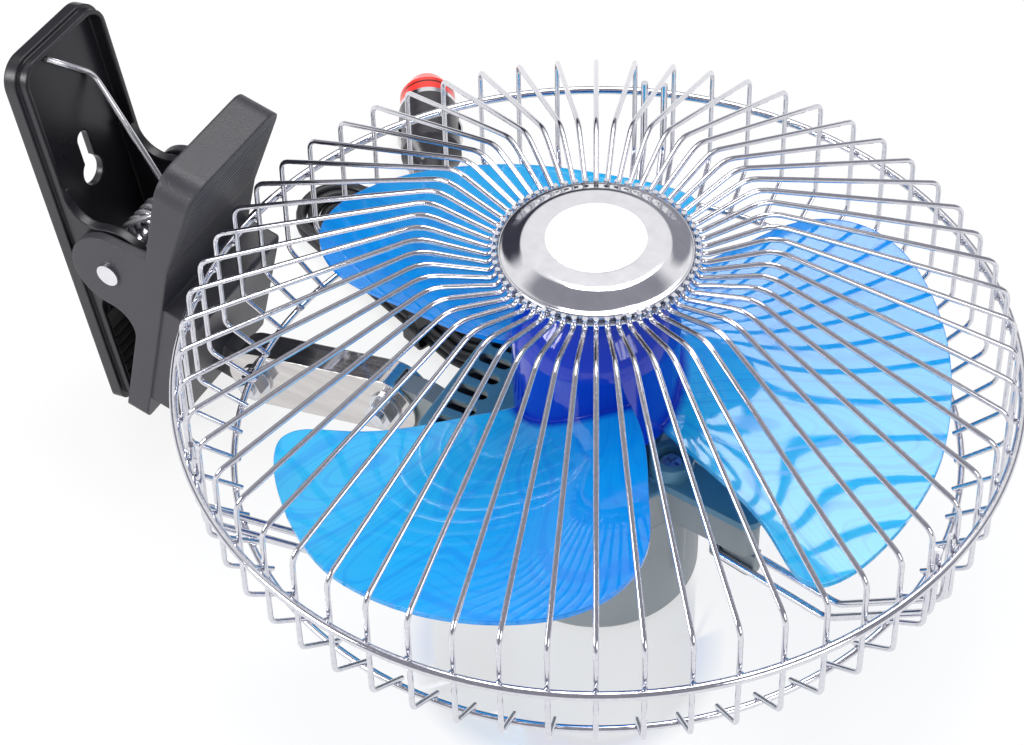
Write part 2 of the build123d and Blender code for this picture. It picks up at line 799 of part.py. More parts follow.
def arm_outline(inset):
    """Outline of an arm along +X, drawn in by an inset."""
    root_half = arm_root_width / 2 - inset
    tip_half = arm_tip_width / 2 - inset
    tip_middle = arm_tip_radius - arm_tip_width / 2
    with BuildSketch() as outline:
        with BuildLine():
            Polyline((arm_root_radius, root_half), (arm_root_radius, -root_half), (tip_middle, -tip_half))
            RadiusArc((tip_middle, -tip_half), (tip_middle, tip_half), -tip_half)
            Line((tip_middle, tip_half), (arm_root_radius, root_half))
        make_face()
    return outline.sketch


with BuildPart() as front_cover:
    with BuildSketch(Plane.XY.offset(cover_seam)):
        Circle(body_radius)
        with Locations((-lobe_end / 2, 0)):
            RectangleRounded(lobe_end, 2 * lobe_half_width, lobe_corner)
    extrude(amount=cover_top - cover_seam)
    fillet(front_cover.faces().sort_by(Axis.Z)[-1].edges(), arm_edge)
    with BuildSketch(Plane.XY.offset(cover_top)):
        Circle(cover_crown_radius)
    extrude(amount=cover_crown_top - cover_top, taper=30)
    for place in arm_places:
        with BuildSketch(Plane.XY.offset(arm_bottom) * place):
            add(arm_outline(arm_inset))
        extrude(amount=arm_top - arm_bottom)
        with BuildSketch(Plane.XY.offset(arm_top - arm_plate) * place):
            add(arm_outline(0))
        extrude(amount=arm_plate)
    with BuildSketch(Plane.XY.offset(cover_seam)):
        with PolarLocations(boss_reach, arm_count, start_angle=arm_phase):
            Circle(boss_radius)
    extrude(amount=boss_top - cover_seam)
    with BuildSketch(Plane.XY.offset(cover_seam - overrun)):
        Circle(body_radius - body_wall)
        with Locations((-lobe_length / 2, 0)):
            RectangleRounded(lobe_length, 2 * (lobe_half_width - body_wall), lobe_corner - body_wall)
    extrude(amount=cover_inside - cover_seam + overrun, mode=Mode.SUBTRACT)
    with BuildSketch(Plane.XY.offset(cover_seam)):
        with PolarLocations(boss_reach, arm_count, start_angle=arm_phase):
            Circle(post_radius)
    extrude(amount=cover_inside - cover_seam)
    with BuildSketch(Plane.XY.offset(cover_seam - overrun)):
        with PolarLocations(boss_reach, arm_count, start_angle=arm_phase):
            Circle(post_hole_radius + clearance)
        Circle(can_hole)
    extrude(amount=boss_top - cover_seam + 2 * overrun, mode=Mode.SUBTRACT)
    with BuildSketch(Plane.XY.offset(screw_seat)):
        with PolarLocations(boss_reach, arm_count, start_angle=arm_phase):
            Circle(boss_recess_radius)
    extrude(amount=boss_recess + overrun, mode=Mode.SUBTRACT)
    with BuildSketch(Plane.XY.offset(cover_top + overrun)):
        with Locations((-slot_middle, 0)):
            with GridLocations(0, slot_pitch, 1, slot_count):
                SlotOverall(slot_length, slot_width)
    extrude(amount=-body_wall - 2 * overrun, mode=Mode.SUBTRACT)
    for place in arm_places:
        with BuildSketch(Plane.XY.offset(arm_bottom) * place):
            with Locations((clamp_screw_reach, 0)):
                Circle(clamp_screw_radius + seat_gap)
        extrude(amount=clamp_screw_length - clamp_height + seat_gap, mode=Mode.SUBTRACT)
front_cover.part.label = "front_cover"
export_step(front_cover.part, "parts/front_cover.step")

# Cover screws: pan heads with a cross recess, sunk in the bosses
cover_screw_bottom = screw_seat - cover_screw_length
with BuildPart() as cover_screw:
    with BuildSketch(Plane.XY.offset(cover_screw_bottom)):
        Circle(post_hole_radius)
    extrude(amount=cover_screw_length + seat_gap)
    with BuildSketch(Plane.XY.offset(screw_seat + seat_gap)):
        Circle(cover_screw_head_radius)
    extrude(amount=cover_screw_head_height)
    fillet(cover_screw.faces().sort_by(Axis.Z)[-1].edges(), cover_screw_head_height / 2)
    with BuildSketch(Plane.XY.offset(screw_seat + seat_gap + cover_screw_head_height)):
        Rectangle(cover_screw_cross_length, cover_screw_cross_width)
        Rectangle(cover_screw_cross_width, cover_screw_cross_length)
    extrude(amount=-cover_screw_cross_depth, mode=Mode.SUBTRACT)

screw_places = PolarLocations(boss_reach, arm_count, start_angle=arm_phase)
cover_screws = Compound([place * cover_screw.part.solids()[0] for place in screw_places])
cover_screws.label = "cover_screws"
export_step(cover_screws, "parts/cover_screws.step")

# Strut clamps: cores between the rods under the arm tips, with a floor that holds the hairpins up
clamp_width = 2 * strut_half_pitch
clamp_root = strut_root_radius - strut_diameter
with BuildPart() as strut_clamp:
    with BuildSketch(Plane.XY.offset(clamp_bottom)):
        with Locations(((clamp_root + arm_tip_radius) / 2, 0)):
            RectangleRounded(arm_tip_radius - clamp_root, clamp_width, strut_diameter)
    extrude(amount=clamp_height)
    with BuildSketch(Plane.XY.offset(strut_height - groove_width / 2)):
        with Locations((strut_root_radius + overrun, 0)):
            SlotCenterPoint(
                (arm_tip_radius / 2 - strut_root_radius / 2 + overrun, 0),
                (-overrun + strut_half_pitch, 0),
                2 * strut_half_pitch + groove_width,
            )
            SlotCenterPoint(
                (arm_tip_radius / 2 - strut_root_radius / 2 + overrun, 0),
                (-overrun + strut_half_pitch, 0),
                2 * strut_half_pitch - groove_width,
                mode=Mode.SUBTRACT,
            )
    extrude(amount=clamp_top - strut_height + groove_width / 2 + overrun, mode=Mode.SUBTRACT)
    with BuildSketch(Plane.XY.offset(clamp_bottom - overrun)):
        with Locations((clamp_screw_reach, 0)):
            Circle(clamp_screw_radius + seat_gap)
    extrude(amount=clamp_height + 2 * overrun, mode=Mode.SUBTRACT)

strut_clamps = Compound([place * solid for place in arm_places for solid in strut_clamp.part.solids()])
strut_clamps.label = "strut_clamps"
export_step(strut_clamps, "parts/strut_clamps.step")

# Clamp screws: from below into the arms
with BuildPart() as clamp_screw:
    with BuildSketch(Plane.XY.offset(clamp_bottom - seat_gap - clamp_screw_head_height)):
        Circle(clamp_screw_head_radius)
    extrude(amount=clamp_screw_head_height)
    with BuildSketch(Plane.XY.offset(clamp_bottom - seat_gap)):
        Circle(clamp_screw_radius)
    extrude(amount=clamp_screw_length)

clamp_screw_places = PolarLocations(clamp_screw_reach, arm_count, start_angle=arm_phase)
clamp_screws = Compound([place * clamp_screw.part.solids()[0] for place in clamp_screw_places])
clamp_screws.label = "clamp_screws"
export_step(clamp_screws, "parts/clamp_screws.step")

# Switch body: framed box through the lobe's floor
switch_face = lobe_bottom - seat_gap
rocker_axis = lobe_bottom + floor_thickness
rocker_room_length = 2 * (rocker_radius + clearance)
rocker_room_width = rocker_width + 2 * clearance
with BuildPart() as switch_body:
    with BuildSketch(Plane.XY.offset(switch_face - switch_flange_height)):
        with Locations((switch_x, 0)):
            Rectangle(switch_frame_width, switch_frame_length)
    extrude(amount=switch_flange_height)
    with BuildSketch(Plane.XY.offset(switch_face)):
        with Locations((switch_x, 0)):
            Rectangle(switch_hole_width, switch_hole_length)
    extrude(amount=switch_body_height)
    with BuildSketch(Plane.XY.offset(switch_face - switch_flange_height - overrun)):
        with Locations((switch_x, 0)):
            Rectangle(rocker_room_width, rocker_room_length)
    extrude(amount=rocker_axis - switch_face + rocker_radius + 2 * overrun, mode=Mode.SUBTRACT)
    with BuildSketch(Plane.YZ.offset(switch_x)):
        with Locations((0, rocker_axis)):
            Circle(rocker_axle_radius)
    extrude(amount=switch_hole_width / 2, both=True)
switch_body.part.label = "switch_body"
export_step(switch_body.part, "parts/switch_body.step")

# Switch rocker: turns on the body's axle; the half toward +Y is pressed in
rocker_span = 2 * rocker_radius
rocker_low = rocker_axis - rocker_face
with BuildPart() as switch_rocker:
    with BuildSketch(Plane.YZ.offset(switch_x)):
        with Locations((0, rocker_axis)):
            Circle(rocker_radius)
        with BuildLine():
            Polyline(
                (0, rocker_low),
                (rocker_span, rocker_low),
                (rocker_span, rocker_low - rocker_span),
                (-rocker_span, rocker_low - rocker_span),
                (-rocker_span, rocker_low - rocker_span * tan(radians(rocker_slope))),
                close=True,
            )
        make_face(mode=Mode.SUBTRACT)
        with Locations((0, rocker_axis + rocker_top + rocker_radius)):
            Rectangle(2 * rocker_radius, 2 * rocker_radius, mode=Mode.SUBTRACT)
        with Locations((0, rocker_axis)):
            Circle(rocker_axle_radius + running_gap, mode=Mode.SUBTRACT)
    extrude(amount=rocker_width / 2, both=True)
switch_rocker.part.label = "switch_rocker"
export_step(switch_rocker.part, "parts/switch_rocker.step")

# Link: U-channel with its web on top, between the housing's lug and the clip's tongue
link_reach = guard_radius - link_inset
link_along = Vector(-cos(radians(link_slope)), 0, -sin(radians(link_slope)))
tilt_bolt_at = Vector(tilt_bolt_x, 0, tilt_bolt_z)
clip_bolt_at = tilt_bolt_at + link_along * link_reach
link_middle = (tilt_bolt_at + clip_bolt_at) * 0.5
link_plane = Plane(origin=link_middle, x_dir=link_along * -1, z_dir=(0, -1, 0))
link_inside = link_height / 2 - link_sheet

with BuildPart() as link_bracket:
    with BuildSketch(link_plane):
        SlotCenterToCenter(link_reach, link_height)
        with GridLocations(link_reach, 0, 2, 1):
            Circle(bolt_radius + running_gap, mode=Mode.SUBTRACT)
    extrude(amount=link_width / 2, both=True)
    with BuildSketch(link_plane):
        with Locations((0, link_inside)):
            Rectangle(
                link_reach + 2 * link_height,
                link_height + overrun,
                align=(Align.CENTER, Align.MAX),
            )
    extrude(amount=link_width / 2 - link_sheet, both=True, mode=Mode.SUBTRACT)
link_bracket.part.label = "link_bracket"
export_step(link_bracket.part, "parts/link_bracket.step")

# Bolts, nuts and washers at both ends of the link
side_seat = link_width / 2 + seat_gap
washer_out = side_seat + washer_thickness + seat_gap
nut_out = washer_out + nut_height


def bolt_plane(at, out):
    """Plane square to a bolt, that far out on the near side of the link."""
    return Plane(origin=at - Vector(0, out, 0), x_dir=(1, 0, 0), z_dir=(0, -1, 0))


with BuildPart() as tilt_bolt:
    with BuildSketch(bolt_plane(tilt_bolt_at, -side_seat - bolt_head_height)):
        RegularPolygon(radius=bolt_head_radius, side_count=6)
    extrude(amount=bolt_head_height)
    with BuildSketch(bolt_plane(tilt_bolt_at, -side_seat)):
        Circle(bolt_radius)
    extrude(amount=side_seat + nut_out + bolt_end)
tilt_bolt.part.label = "tilt_bolt"
export_step(tilt_bolt.part, "parts/tilt_bolt.step")

with BuildPart() as tilt_washer:
    with BuildSketch(bolt_plane(tilt_bolt_at, side_seat)):
        Circle(washer_radius)
        Circle(bolt_radius + seat_gap, mode=Mode.SUBTRACT)
    extrude(amount=washer_thickness)
tilt_washer.part.label = "tilt_washer"
export_step(tilt_washer.part, "parts/tilt_washer.step")

with BuildPart() as tilt_nut:
    with BuildSketch(bolt_plane(tilt_bolt_at, washer_out)):
        RegularPolygon(radius=bolt_head_radius, side_count=6)
        Circle(bolt_radius + seat_gap, mode=Mode.SUBTRACT)
    extrude(amount=nut_height)
tilt_nut.part.label = "tilt_nut"
export_step(tilt_nut.part, "parts/tilt_nut.step")

with BuildPart() as clip_bolt:
    with BuildSketch(bolt_plane(clip_bolt_at, -side_seat - bolt_head_height)):
        RegularPolygon(radius=bolt_head_radius, side_count=6)
    extrude(amount=bolt_head_height)
    with BuildSketch(bolt_plane(clip_bolt_at, -side_seat)):
        Circle(bolt_radius)
    extrude(amount=side_seat + nut_out + bolt_end)
clip_bolt.part.label = "clip_bolt"
export_step(clip_bolt.part, "parts/clip_bolt.step")

with BuildPart() as clip_washer:
    with BuildSketch(bolt_plane(clip_bolt_at, side_seat)):
        Circle(washer_radius)
        Circle(bolt_radius + seat_gap, mode=Mode.SUBTRACT)
    extrude(amount=washer_thickness)
clip_washer.part.label = "clip_washer"
export_step(clip_washer.part, "parts/clip_washer.step")

with BuildPart() as clip_nut:
    with BuildSketch(bolt_plane(clip_bolt_at, washer_out)):
        RegularPolygon(radius=bolt_head_radius, side_count=6)
        Circle(bolt_radius + seat_gap, mode=Mode.SUBTRACT)
    extrude(amount=nut_height)
clip_nut.part.label = "clip_nut"
export_step(clip_nut.part, "parts/clip_nut.step")

# Directions of the jaws: up along each jaw, and out of its outer (front) or inner (rear) face
front_up = Vector(sin(radians(front_lean)), 0, cos(radians(front_lean)))
front_out = Vector(cos(radians(front_lean)), 0, -sin(radians(front_lean)))
front_foot = clip_bolt_at - front_out * clip_bolt_reach - front_up * clip_bolt_rise
pivot_at = front_foot + front_up * pivot_rise - front_out * pivot_depth
rear_up = Vector(sin(radians(rear_lean)), 0, cos(radians(rear_lean)))
rear_in = Vector(cos(radians(rear_lean)), 0, -sin(radians(rear_lean)))
rear_foot = pivot_at - rear_up * rear_pivot_rise - rear_in * rear_pivot_reach
half_width = front_width / 2


def front_at(rise, out):
    """Place in the XZ plane, along the front jaw and out from its outer face."""
    place = front_foot + front_up * rise + front_out * out
    return (place.X, place.Z)


def rear_at(rise, inward):
    """Place in the XZ plane, along the rear jaw and in from its back face."""
    place = rear_foot + rear_up * rise + rear_in * inward
    return (place.X, place.Z)


def jaw_outline(length, width, margin):
    """Outline of a jaw: broad round corners at the top, small ones at the mouth."""
    with BuildSketch() as outline:
        with Locations((length / 2, 0)):
            Rectangle(length - 2 * margin, width - 2 * margin)
        corners = outline.vertices().sort_by(Axis.X)
        fillet(corners[:2], jaw_foot_corner)
        corners = outline.vertices().sort_by(Axis.X)
        fillet(corners[-2:], jaw_corner - margin)
    return outline.sketch


front_plane = Plane(origin=front_foot, x_dir=front_up, z_dir=front_out)
rear_plane = Plane(origin=rear_foot, x_dir=rear_up, z_dir=rear_in)
pivot_place = (pivot_at.X, pivot_at.Z)

# Thumb grip: the front jaw's upper outer face leans out
with BuildPart() as thumb_grip:
    with BuildSketch(front_plane.offset(-jaw_floor / 2)):
        add(jaw_outline(front_length, front_width, 0))
    extrude(amount=jaw_floor + flare_out)
    with BuildSketch(Plane.XZ):
        with BuildLine():
            Polyline(
                front_at(flare_low, -jaw_floor),
                front_at(flare_low, 0),
                front_at(front_length, flare_out),
                front_at(front_length, -jaw_floor),
                close=True,
            )
        make_face()
    extrude(amount=front_width, both=True, mode=Mode.INTERSECT)

# Front jaw: tray with the link block and tongue on its outer face and an ear on each side
tongue_root_low = front_at(clip_bolt_rise - lug_radius, block_thickness / 2)
ear_corner = front_at(ear_low, -front_depth)
tongue_root_high = front_at(clip_bolt_rise + tongue_upper, block_thickness / 2)

with BuildPart() as front_jaw:
    with BuildSketch(front_plane):
        add(jaw_outline(front_length, front_width, 0))
    extrude(amount=-front_depth)
    add(thumb_grip.part)
    with BuildSketch(front_plane.offset(-jaw_floor)):
        add(jaw_outline(front_length, front_width, jaw_rim))
    extrude(amount=-front_depth, mode=Mode.SUBTRACT)
    with BuildSketch(front_plane):
        with Locations(((block_low + block_high) / 2, 0)):
            Rectangle(block_high - block_low, front_width - 2 * block_margin)
    extrude(amount=block_thickness)
    fillet(front_jaw.faces().sort_by(Axis(origin=front_foot, direction=front_out))[-1].edges(), block_edge)
    with BuildSketch(Plane.XZ):
        with Locations((clip_bolt_at.X, clip_bolt_at.Z)):
            Circle(lug_radius)
        with BuildLine():
            Polyline(
                tongue_root_low,
                front_at(clip_bolt_rise - lug_radius, clip_bolt_reach),
                front_at(clip_bolt_rise + tongue_upper, clip_bolt_reach),
                tongue_root_high,
                close=True,
            )
        make_face()
        with Locations((clip_bolt_at.X, clip_bolt_at.Z)):
            Circle(bolt_radius + running_gap, mode=Mode.SUBTRACT)
    extrude(amount=lug_width / 2, both=True)
    for side in (half_width, -half_width + ear_thickness):
        with BuildSketch(Plane.XZ.offset(-side)) as front_ear:
            with Locations(pivot_place):
                Circle(ear_radius)
            with BuildLine():
                Polyline(
                    front_at(ear_low, -jaw_floor),
                    ear_corner,
                    front_at(ear_high, -front_depth),
                    front_at(ear_high, -jaw_floor),
                    close=True,
                )
            make_face()
            make_hull()
            with BuildLine():
                Polyline(
                    front_at(ear_low - ear_foot, -jaw_floor),
                    front_at(ear_low - ear_foot, -front_depth),
                    front_at(ear_high, -front_depth),
                    front_at(ear_high, -jaw_floor),
                    close=True,
                )
            make_face()
            fillet(front_ear.vertices().sort_by_distance(Vector(*ear_corner))[0], ear_sweep)
        extrude(amount=ear_thickness)
    with BuildSketch(Plane.XZ):
        with Locations(pivot_place):
            Circle(pin_radius + running_gap)
    extrude(amount=half_width + overrun, both=True, mode=Mode.SUBTRACT)
front_jaw.part.label = "front_jaw"
export_step(front_jaw.part, "parts/front_jaw.step")

# Rear jaw: stepped tray with a keyhole in its floor and ears on the pin, inside the front jaw's ears
rear_ear_out = rear_width / 2 - rear_inset
rear_ear_corners = [rear_at(rear_ear_low, rear_depth), rear_at(rear_ear_high, rear_depth)]

with BuildPart() as rear_jaw:
    with BuildSketch(rear_plane):
        add(jaw_outline(rear_length, rear_width, 0))
    extrude(amount=rear_step)
    with BuildSketch(rear_plane):
        add(jaw_outline(rear_length, rear_width, rear_inset))
    extrude(amount=rear_depth)
    with BuildSketch(rear_plane.offset(jaw_floor)):
        add(jaw_outline(rear_length, rear_width, jaw_rim))
    extrude(amount=rear_depth, mode=Mode.SUBTRACT)
    with BuildSketch(rear_plane.offset(-overrun)):
        with Locations((keyhole_rise, 0)):
            Circle(keyhole_radius)
        with Locations((keyhole_rise + keyhole_pitch / 2, 0)):
            Rectangle(keyhole_pitch, 2 * keyhole_neck_radius)
        with Locations((keyhole_rise + keyhole_pitch, 0)):
            Circle(keyhole_neck_radius)
    extrude(amount=jaw_floor + 2 * overrun, mode=Mode.SUBTRACT)
    for side in (rear_ear_out, -rear_ear_out + ear_thickness):
        with BuildSketch(Plane.XZ.offset(-side)) as rear_ear:
            with Locations(pivot_place):
                Circle(rear_ear_radius)
            with BuildLine():
                Polyline(
                    rear_at(rear_ear_low, jaw_floor),
                    rear_at(rear_ear_high, jaw_floor),
                    rear_ear_corners[1],
                    rear_ear_corners[0],
                    close=True,
                )
            make_face()
            make_hull()
            with BuildLine():
                Polyline(
                    rear_at(rear_ear_low - ear_foot, jaw_floor / 2),
                    rear_at(rear_ear_high + ear_foot, jaw_floor / 2),
                    rear_at(rear_ear_high + ear_foot, rear_depth),
                    rear_at(rear_ear_low - ear_foot, rear_depth),
                    close=True,
                )
            make_face()
            for corner in rear_ear_corners:
                fillet(rear_ear.vertices().sort_by_distance(Vector(*corner))[0], ear_sweep)
        extrude(amount=ear_thickness)
    with BuildSketch(Plane.XZ):
        with Locations(pivot_place):
            Circle(pin_radius + running_gap)
    extrude(amount=half_width + overrun, both=True, mode=Mode.SUBTRACT)
rear_jaw.part.label = "rear_jaw"
export_step(rear_jaw.part, "parts/rear_jaw.step")

# Pivot pin: rivet through the ears
pin_out = half_width + seat_gap
with BuildPart() as pivot_pin:
    with BuildSketch(Plane.XZ):
        with Locations(pivot_place):
            Circle(pin_radius)
    extrude(amount=pin_out, both=True)
    for side in (pin_out + pin_head_height, -pin_out):
        with BuildSketch(Plane.XZ.offset(-side)):
            with Locations(pivot_place):
                Circle(pin_head_radius)
        extrude(amount=pin_head_height)
pivot_pin.part.label = "pivot_pin"
export_step(pivot_pin.part, "parts/pivot_pin.step")

# Grip pads: ribbed rubber in the mouth of both jaws
front_pad_width = front_width - 2 * jaw_rim - 2 * pad_margin
rear_pad_width = rear_width - 2 * jaw_rim - 2 * pad_margin
pad_pitch = (pad_high - pad_low) / pad_teeth


def pad_profile(place, sign, depth):
    """Outline of a grip pad: flat on the jaw's floor, saw teeth toward the mouth."""
    low = sign * (jaw_floor + seat_gap)
    high = sign * (depth - pad_margin)
    root = sign * (depth - pad_margin - pad_tooth_depth)
    points = [place(pad_low, low)]
    for tooth in range(pad_teeth):
        points.append(place(pad_low + pad_pitch * tooth, root))
        points.append(place(pad_low + pad_pitch * (tooth + 0.5), high))
    points.append(place(pad_high, root))
    points.append(place(pad_high, low))
    return points


with BuildPart() as front_pad:
    with BuildSketch(Plane.XZ):
        with BuildLine():
            Polyline(*pad_profile(front_at, -1, front_depth), close=True)
        make_face()
    extrude(amount=front_pad_width / 2, both=True)
front_pad.part.label = "front_pad"
export_step(front_pad.part, "parts/front_pad.step")

with BuildPart() as rear_pad:
    with BuildSketch(Plane.XZ):
        with BuildLine():
            Polyline(*pad_profile(rear_at, 1, rear_depth), close=True)
        make_face()
    extrude(amount=rear_pad_width / 2, both=True)
rear_pad.part.label = "rear_pad"
export_step(rear_pad.part, "parts/rear_pad.step")


# Torsion spring: coils round the pin, one leg on each jaw's floor
def tangent_angle(goal, side):
    """Angle on the coil, in degrees, where a straight leg leaves it toward the goal."""
    away_x = goal[0] - pivot_at.X
    away_z = goal[1] - pivot_at.Z
    lean = acos(spring_radius / hypot(away_x, away_z))
    return degrees(atan2(away_z, away_x) + side * lean)


def coil_point(angle, y):
    """Point of the coil at an angle, in degrees, and a place along the pin."""
    return Vector(
        pivot_at.X + spring_radius * cos(radians(angle)),
        y,
        pivot_at.Z + spring_radius * sin(radians(angle)),
    )


spring_seat = jaw_floor + spring_gap + spring_wire / 2
rear_goal = rear_at(spring_rear_rise, spring_seat)
front_goal = front_at(spring_front_rise, -spring_seat)
coil_start = tangent_angle(rear_goal, -1)
coil_end = tangent_angle(front_goal, 1) - 360 * spring_turns
coil_steps = 4 * spring_turns - 2
coil_drop = 2 * spring_half_width / (coil_start - coil_end)
coil_points = []
coil_directions = []
for step in range(coil_steps + 1):
    angle = coil_start + (coil_end - coil_start) * step / coil_steps
    y = spring_half_width - coil_drop * (coil_start - angle)
    lift = -degrees(coil_drop)
    coil_points.append(coil_point(angle, y))
    direction = Vector(
        spring_radius * sin(radians(angle)),
        lift,
        -spring_radius * cos(radians(angle)),
    )
    coil_directions.append(direction.normalized())
rear_leg_end = Vector(rear_goal[0], spring_half_width, rear_goal[1])
front_leg_end = Vector(front_goal[0], -spring_half_width, front_goal[1])
rear_leg_reach = (coil_points[0] - rear_leg_end).length
front_leg_reach = (front_leg_end - coil_points[-1]).length
rear_leg_end = coil_points[0] - coil_directions[0] * rear_leg_reach
front_leg_end = coil_points[-1] + coil_directions[-1] * front_leg_reach
hook_bend = 2 * spring_wire
leg_along = coil_directions[0]
hook_along = (Vector(0, 1, 0) - rear_up).normalized()
hook_turn = rear_leg_end + hook_along * -hook_bend
hook_tip = hook_turn + hook_along * -(spring_hook - hook_bend)
leg_turn = rear_leg_end + leg_along * hook_bend
spring_points = [hook_tip, hook_turn, leg_turn] + coil_points + [front_leg_end]
spring_directions = [hook_along, hook_along, leg_along] + coil_directions + [coil_directions[-1]]
spring_pitch = coil_drop * 360
print("torsion spring: least gap between turns", round(spring_pitch - spring_wire, 2), "mm")

with BuildPart() as torsion_spring:
    with BuildSketch(Plane(origin=hook_tip, x_dir=(1, 0, 0), z_dir=hook_along)):
        Circle(spring_wire / 2)
    sweep(path=Wire(biarc_edges(spring_points, spring_directions)))
torsion_spring.part.label = "torsion_spring"
export_step(torsion_spring.part, "parts/torsion_spring.step")

# Strain relief: sleeve through the lobe's wall
relief_seat = lobe_half_width + seat_gap
with BuildPart() as strain_relief:
    with BuildSketch(Plane.XZ):
        with Locations((relief_x, relief_z)):
            Circle(relief_tip_radius)
    extrude(amount=-relief_seat - seat_gap)
    with BuildSketch(Plane.XZ):
        with Locations((relief_x, relief_z)):
            Circle(relief_flange_radius)
    extrude(amount=-lobe_half_width + body_wall + relief_flange_thickness, mode=Mode.SUBTRACT)
    with BuildSketch(Plane.XZ.offset(-relief_seat)):
        with Locations((relief_x, relief_z)):
            Circle(relief_flange_radius)
    extrude(amount=-relief_flange_thickness)
    with BuildSketch(Plane.XZ.offset(-relief_seat - relief_flange_thickness)):
        with Locations((relief_x, relief_z)):
            Circle(relief_root_radius)
    with BuildSketch(Plane.XZ.offset(-relief_seat - relief_length)):
        with Locations((relief_x, relief_z)):
            Circle(relief_tip_radius)
    loft()
    with BuildSketch(Plane.XZ):
        with Locations((relief_x, relief_z)):
            Circle(cord_diameter / 2 + seat_gap)
    extrude(amount=-relief_seat - relief_length - overrun, mode=Mode.SUBTRACT)
strain_relief.part.label = "strain_relief"
export_step(strain_relief.part, "parts/strain_relief.step")

# Hank: three loops spiralling in on the lower layer and out again on the upper one
hank_along = Vector(*on_circle(1, hank_heading), 0)
hank_north = Vector(*on_circle(1, hank_heading - 90), 0)
hank_origin = Vector(hank_east[0], hank_east[1], 0)
north_runs = []
south_runs = []
for loop in range(hank_loops):
    out = hank_least_radius + hank_pitch / 4 + hank_pitch * (hank_loops - 1 - loop)
    north_runs.append(out)
    south_runs.append(-out + hank_pitch / 2)


def hank_at(along, lateral, layer):
    """Place in the hank: along its runs, north of its middle line, on a layer counted from the table."""
    height = hank_height + hank_pitch * layer
    return hank_origin + hank_along * along + hank_north * lateral + Vector(0, 0, height)


hank_points = [hank_at(0, north_runs[0], 0)]
hank_directions = [hank_along]


def hank_run_to(along, lateral, layer, direction):
    """Add a straight run to the hank."""
    hank_points.append(hank_at(along, lateral, layer))
    hank_directions.append(direction)


def hank_turn_to(end, before, after, layer, outward):
    """Add a half turn to the hank, in two quarter turns."""
    radius = abs(before - after) / 2
    hank_points.append(hank_at(end + outward * radius, (before + after) / 2, layer))
    hank_directions.append(hank_north * (-1 if before > after else 1))
    hank_points.append(hank_at(end, after, layer))
    hank_directions.append(hank_along * -outward)


for loop in range(hank_loops):
    last = loop == hank_loops - 1
    hank_run_to(hank_run, north_runs[loop], 0, hank_along)
    hank_turn_to(hank_run, north_runs[loop], south_runs[loop], 0, 1)
    hank_run_to(0, south_runs[loop], 1 if last else 0, hank_along * -1)
    following = north_runs[loop] if last else north_runs[loop + 1]
    hank_turn_to(0, south_runs[loop], following, 1 if last else 0, -1)
for loop in reversed(range(1, hank_loops)):
    hank_run_to(hank_run, north_runs[loop], 1, hank_along)
    hank_turn_to(hank_run, north_runs[loop], south_runs[loop - 1], 1, 1)
    hank_run_to(0, south_runs[loop - 1], 1, hank_along * -1)
    hank_turn_to(0, south_runs[loop - 1], north_runs[loop - 1], 1, -1)
hank_run_to(hank_end_run, north_runs[0], 1, hank_along)
hank_wire = Wire(biarc_edges(hank_points, hank_directions))
hank_gap = hank_pitch - cord_diameter
print("cord hank: least gap", round(hank_gap, 2), "mm; tightest turn", hank_least_radius, "mm")
print("cord hank: length", round(hank_wire.length), "mm")

with BuildPart() as cord_hank:
    with BuildSketch(Plane(origin=hank_points[0], x_dir=(0, 0, 1), z_dir=hank_along)):
        Circle(cord_diameter / 2)
    sweep(path=hank_wire)
cord_hank.part.label = "cord_hank"
export_step(cord_hank.part, "parts/cord_hank.step")


def route_radii(points):
    """Bend radii for a cord's route, from the shorter run at each point and the turn there."""
    radii = []
    for before, corner, after in zip(points, points[1:], points[2:]):
        back = Vector(*corner) - Vector(*before)
        ahead = Vector(*after) - Vector(*corner)
        half_turn = radians(back.get_angle(ahead)) / 2
        radii.append(0.45 * min(back.length, ahead.length) / tan(half_turn))
    return radii


# Lead: from the strain relief down to the hank
lead_start = (relief_x, relief_seat + relief_length + seat_gap, lead_heights[0])
lead_end = hank_points[0] - hank_along * seat_gap
lead_before = lead_end - hank_along * lead_last_run
lead_route = [lead_start]
lead_route += [(x, y, z) for (x, y), z in zip(lead_points, lead_heights[1:])]
lead_route += [(lead_before.X, lead_before.Y, lead_before.Z), (lead_end.X, lead_end.Y, lead_end.Z)]
lead_radii = route_radii(lead_route)
print("cord lead: radii", [round(radius, 1) for radius in lead_radii])

with BuildPart() as cord_lead:
    with BuildLine() as cord_lead_line:
        FilletPolyline(*lead_route, radius=lead_radii)
    with BuildSketch(Plane(origin=lead_start, x_dir=(1, 0, 0), z_dir=cord_lead_line.wires()[0] % 0)):
        Circle(cord_diameter / 2)
    sweep(path=cord_lead_line.wires()[0])
print("cord lead: length", round(cord_lead_line.wires()[0].length), "mm")
cord_lead.part.label = "cord_lead"
export_step(cord_lead.part, "parts/cord_lead.step")

# Plug frame: along the plug from its cord end to its nose
plug_along = Vector(*on_circle(1, plug_heading), 0)
plug_rear = Vector(plug_tip[0], plug_tip[1], plug_height) - plug_along * plug_length
plug_side = Vector(*on_circle(1, plug_heading - 90), 0)


def plug_plane(along):
    """Plane square to the plug, that far from its cord end."""
    return Plane(origin=plug_rear + plug_along * along, x_dir=plug_side, z_dir=plug_along)


plug_section = Plane(origin=plug_rear, x_dir=plug_along, z_dir=plug_side)
plug_axis = Axis(origin=plug_rear, direction=plug_along)

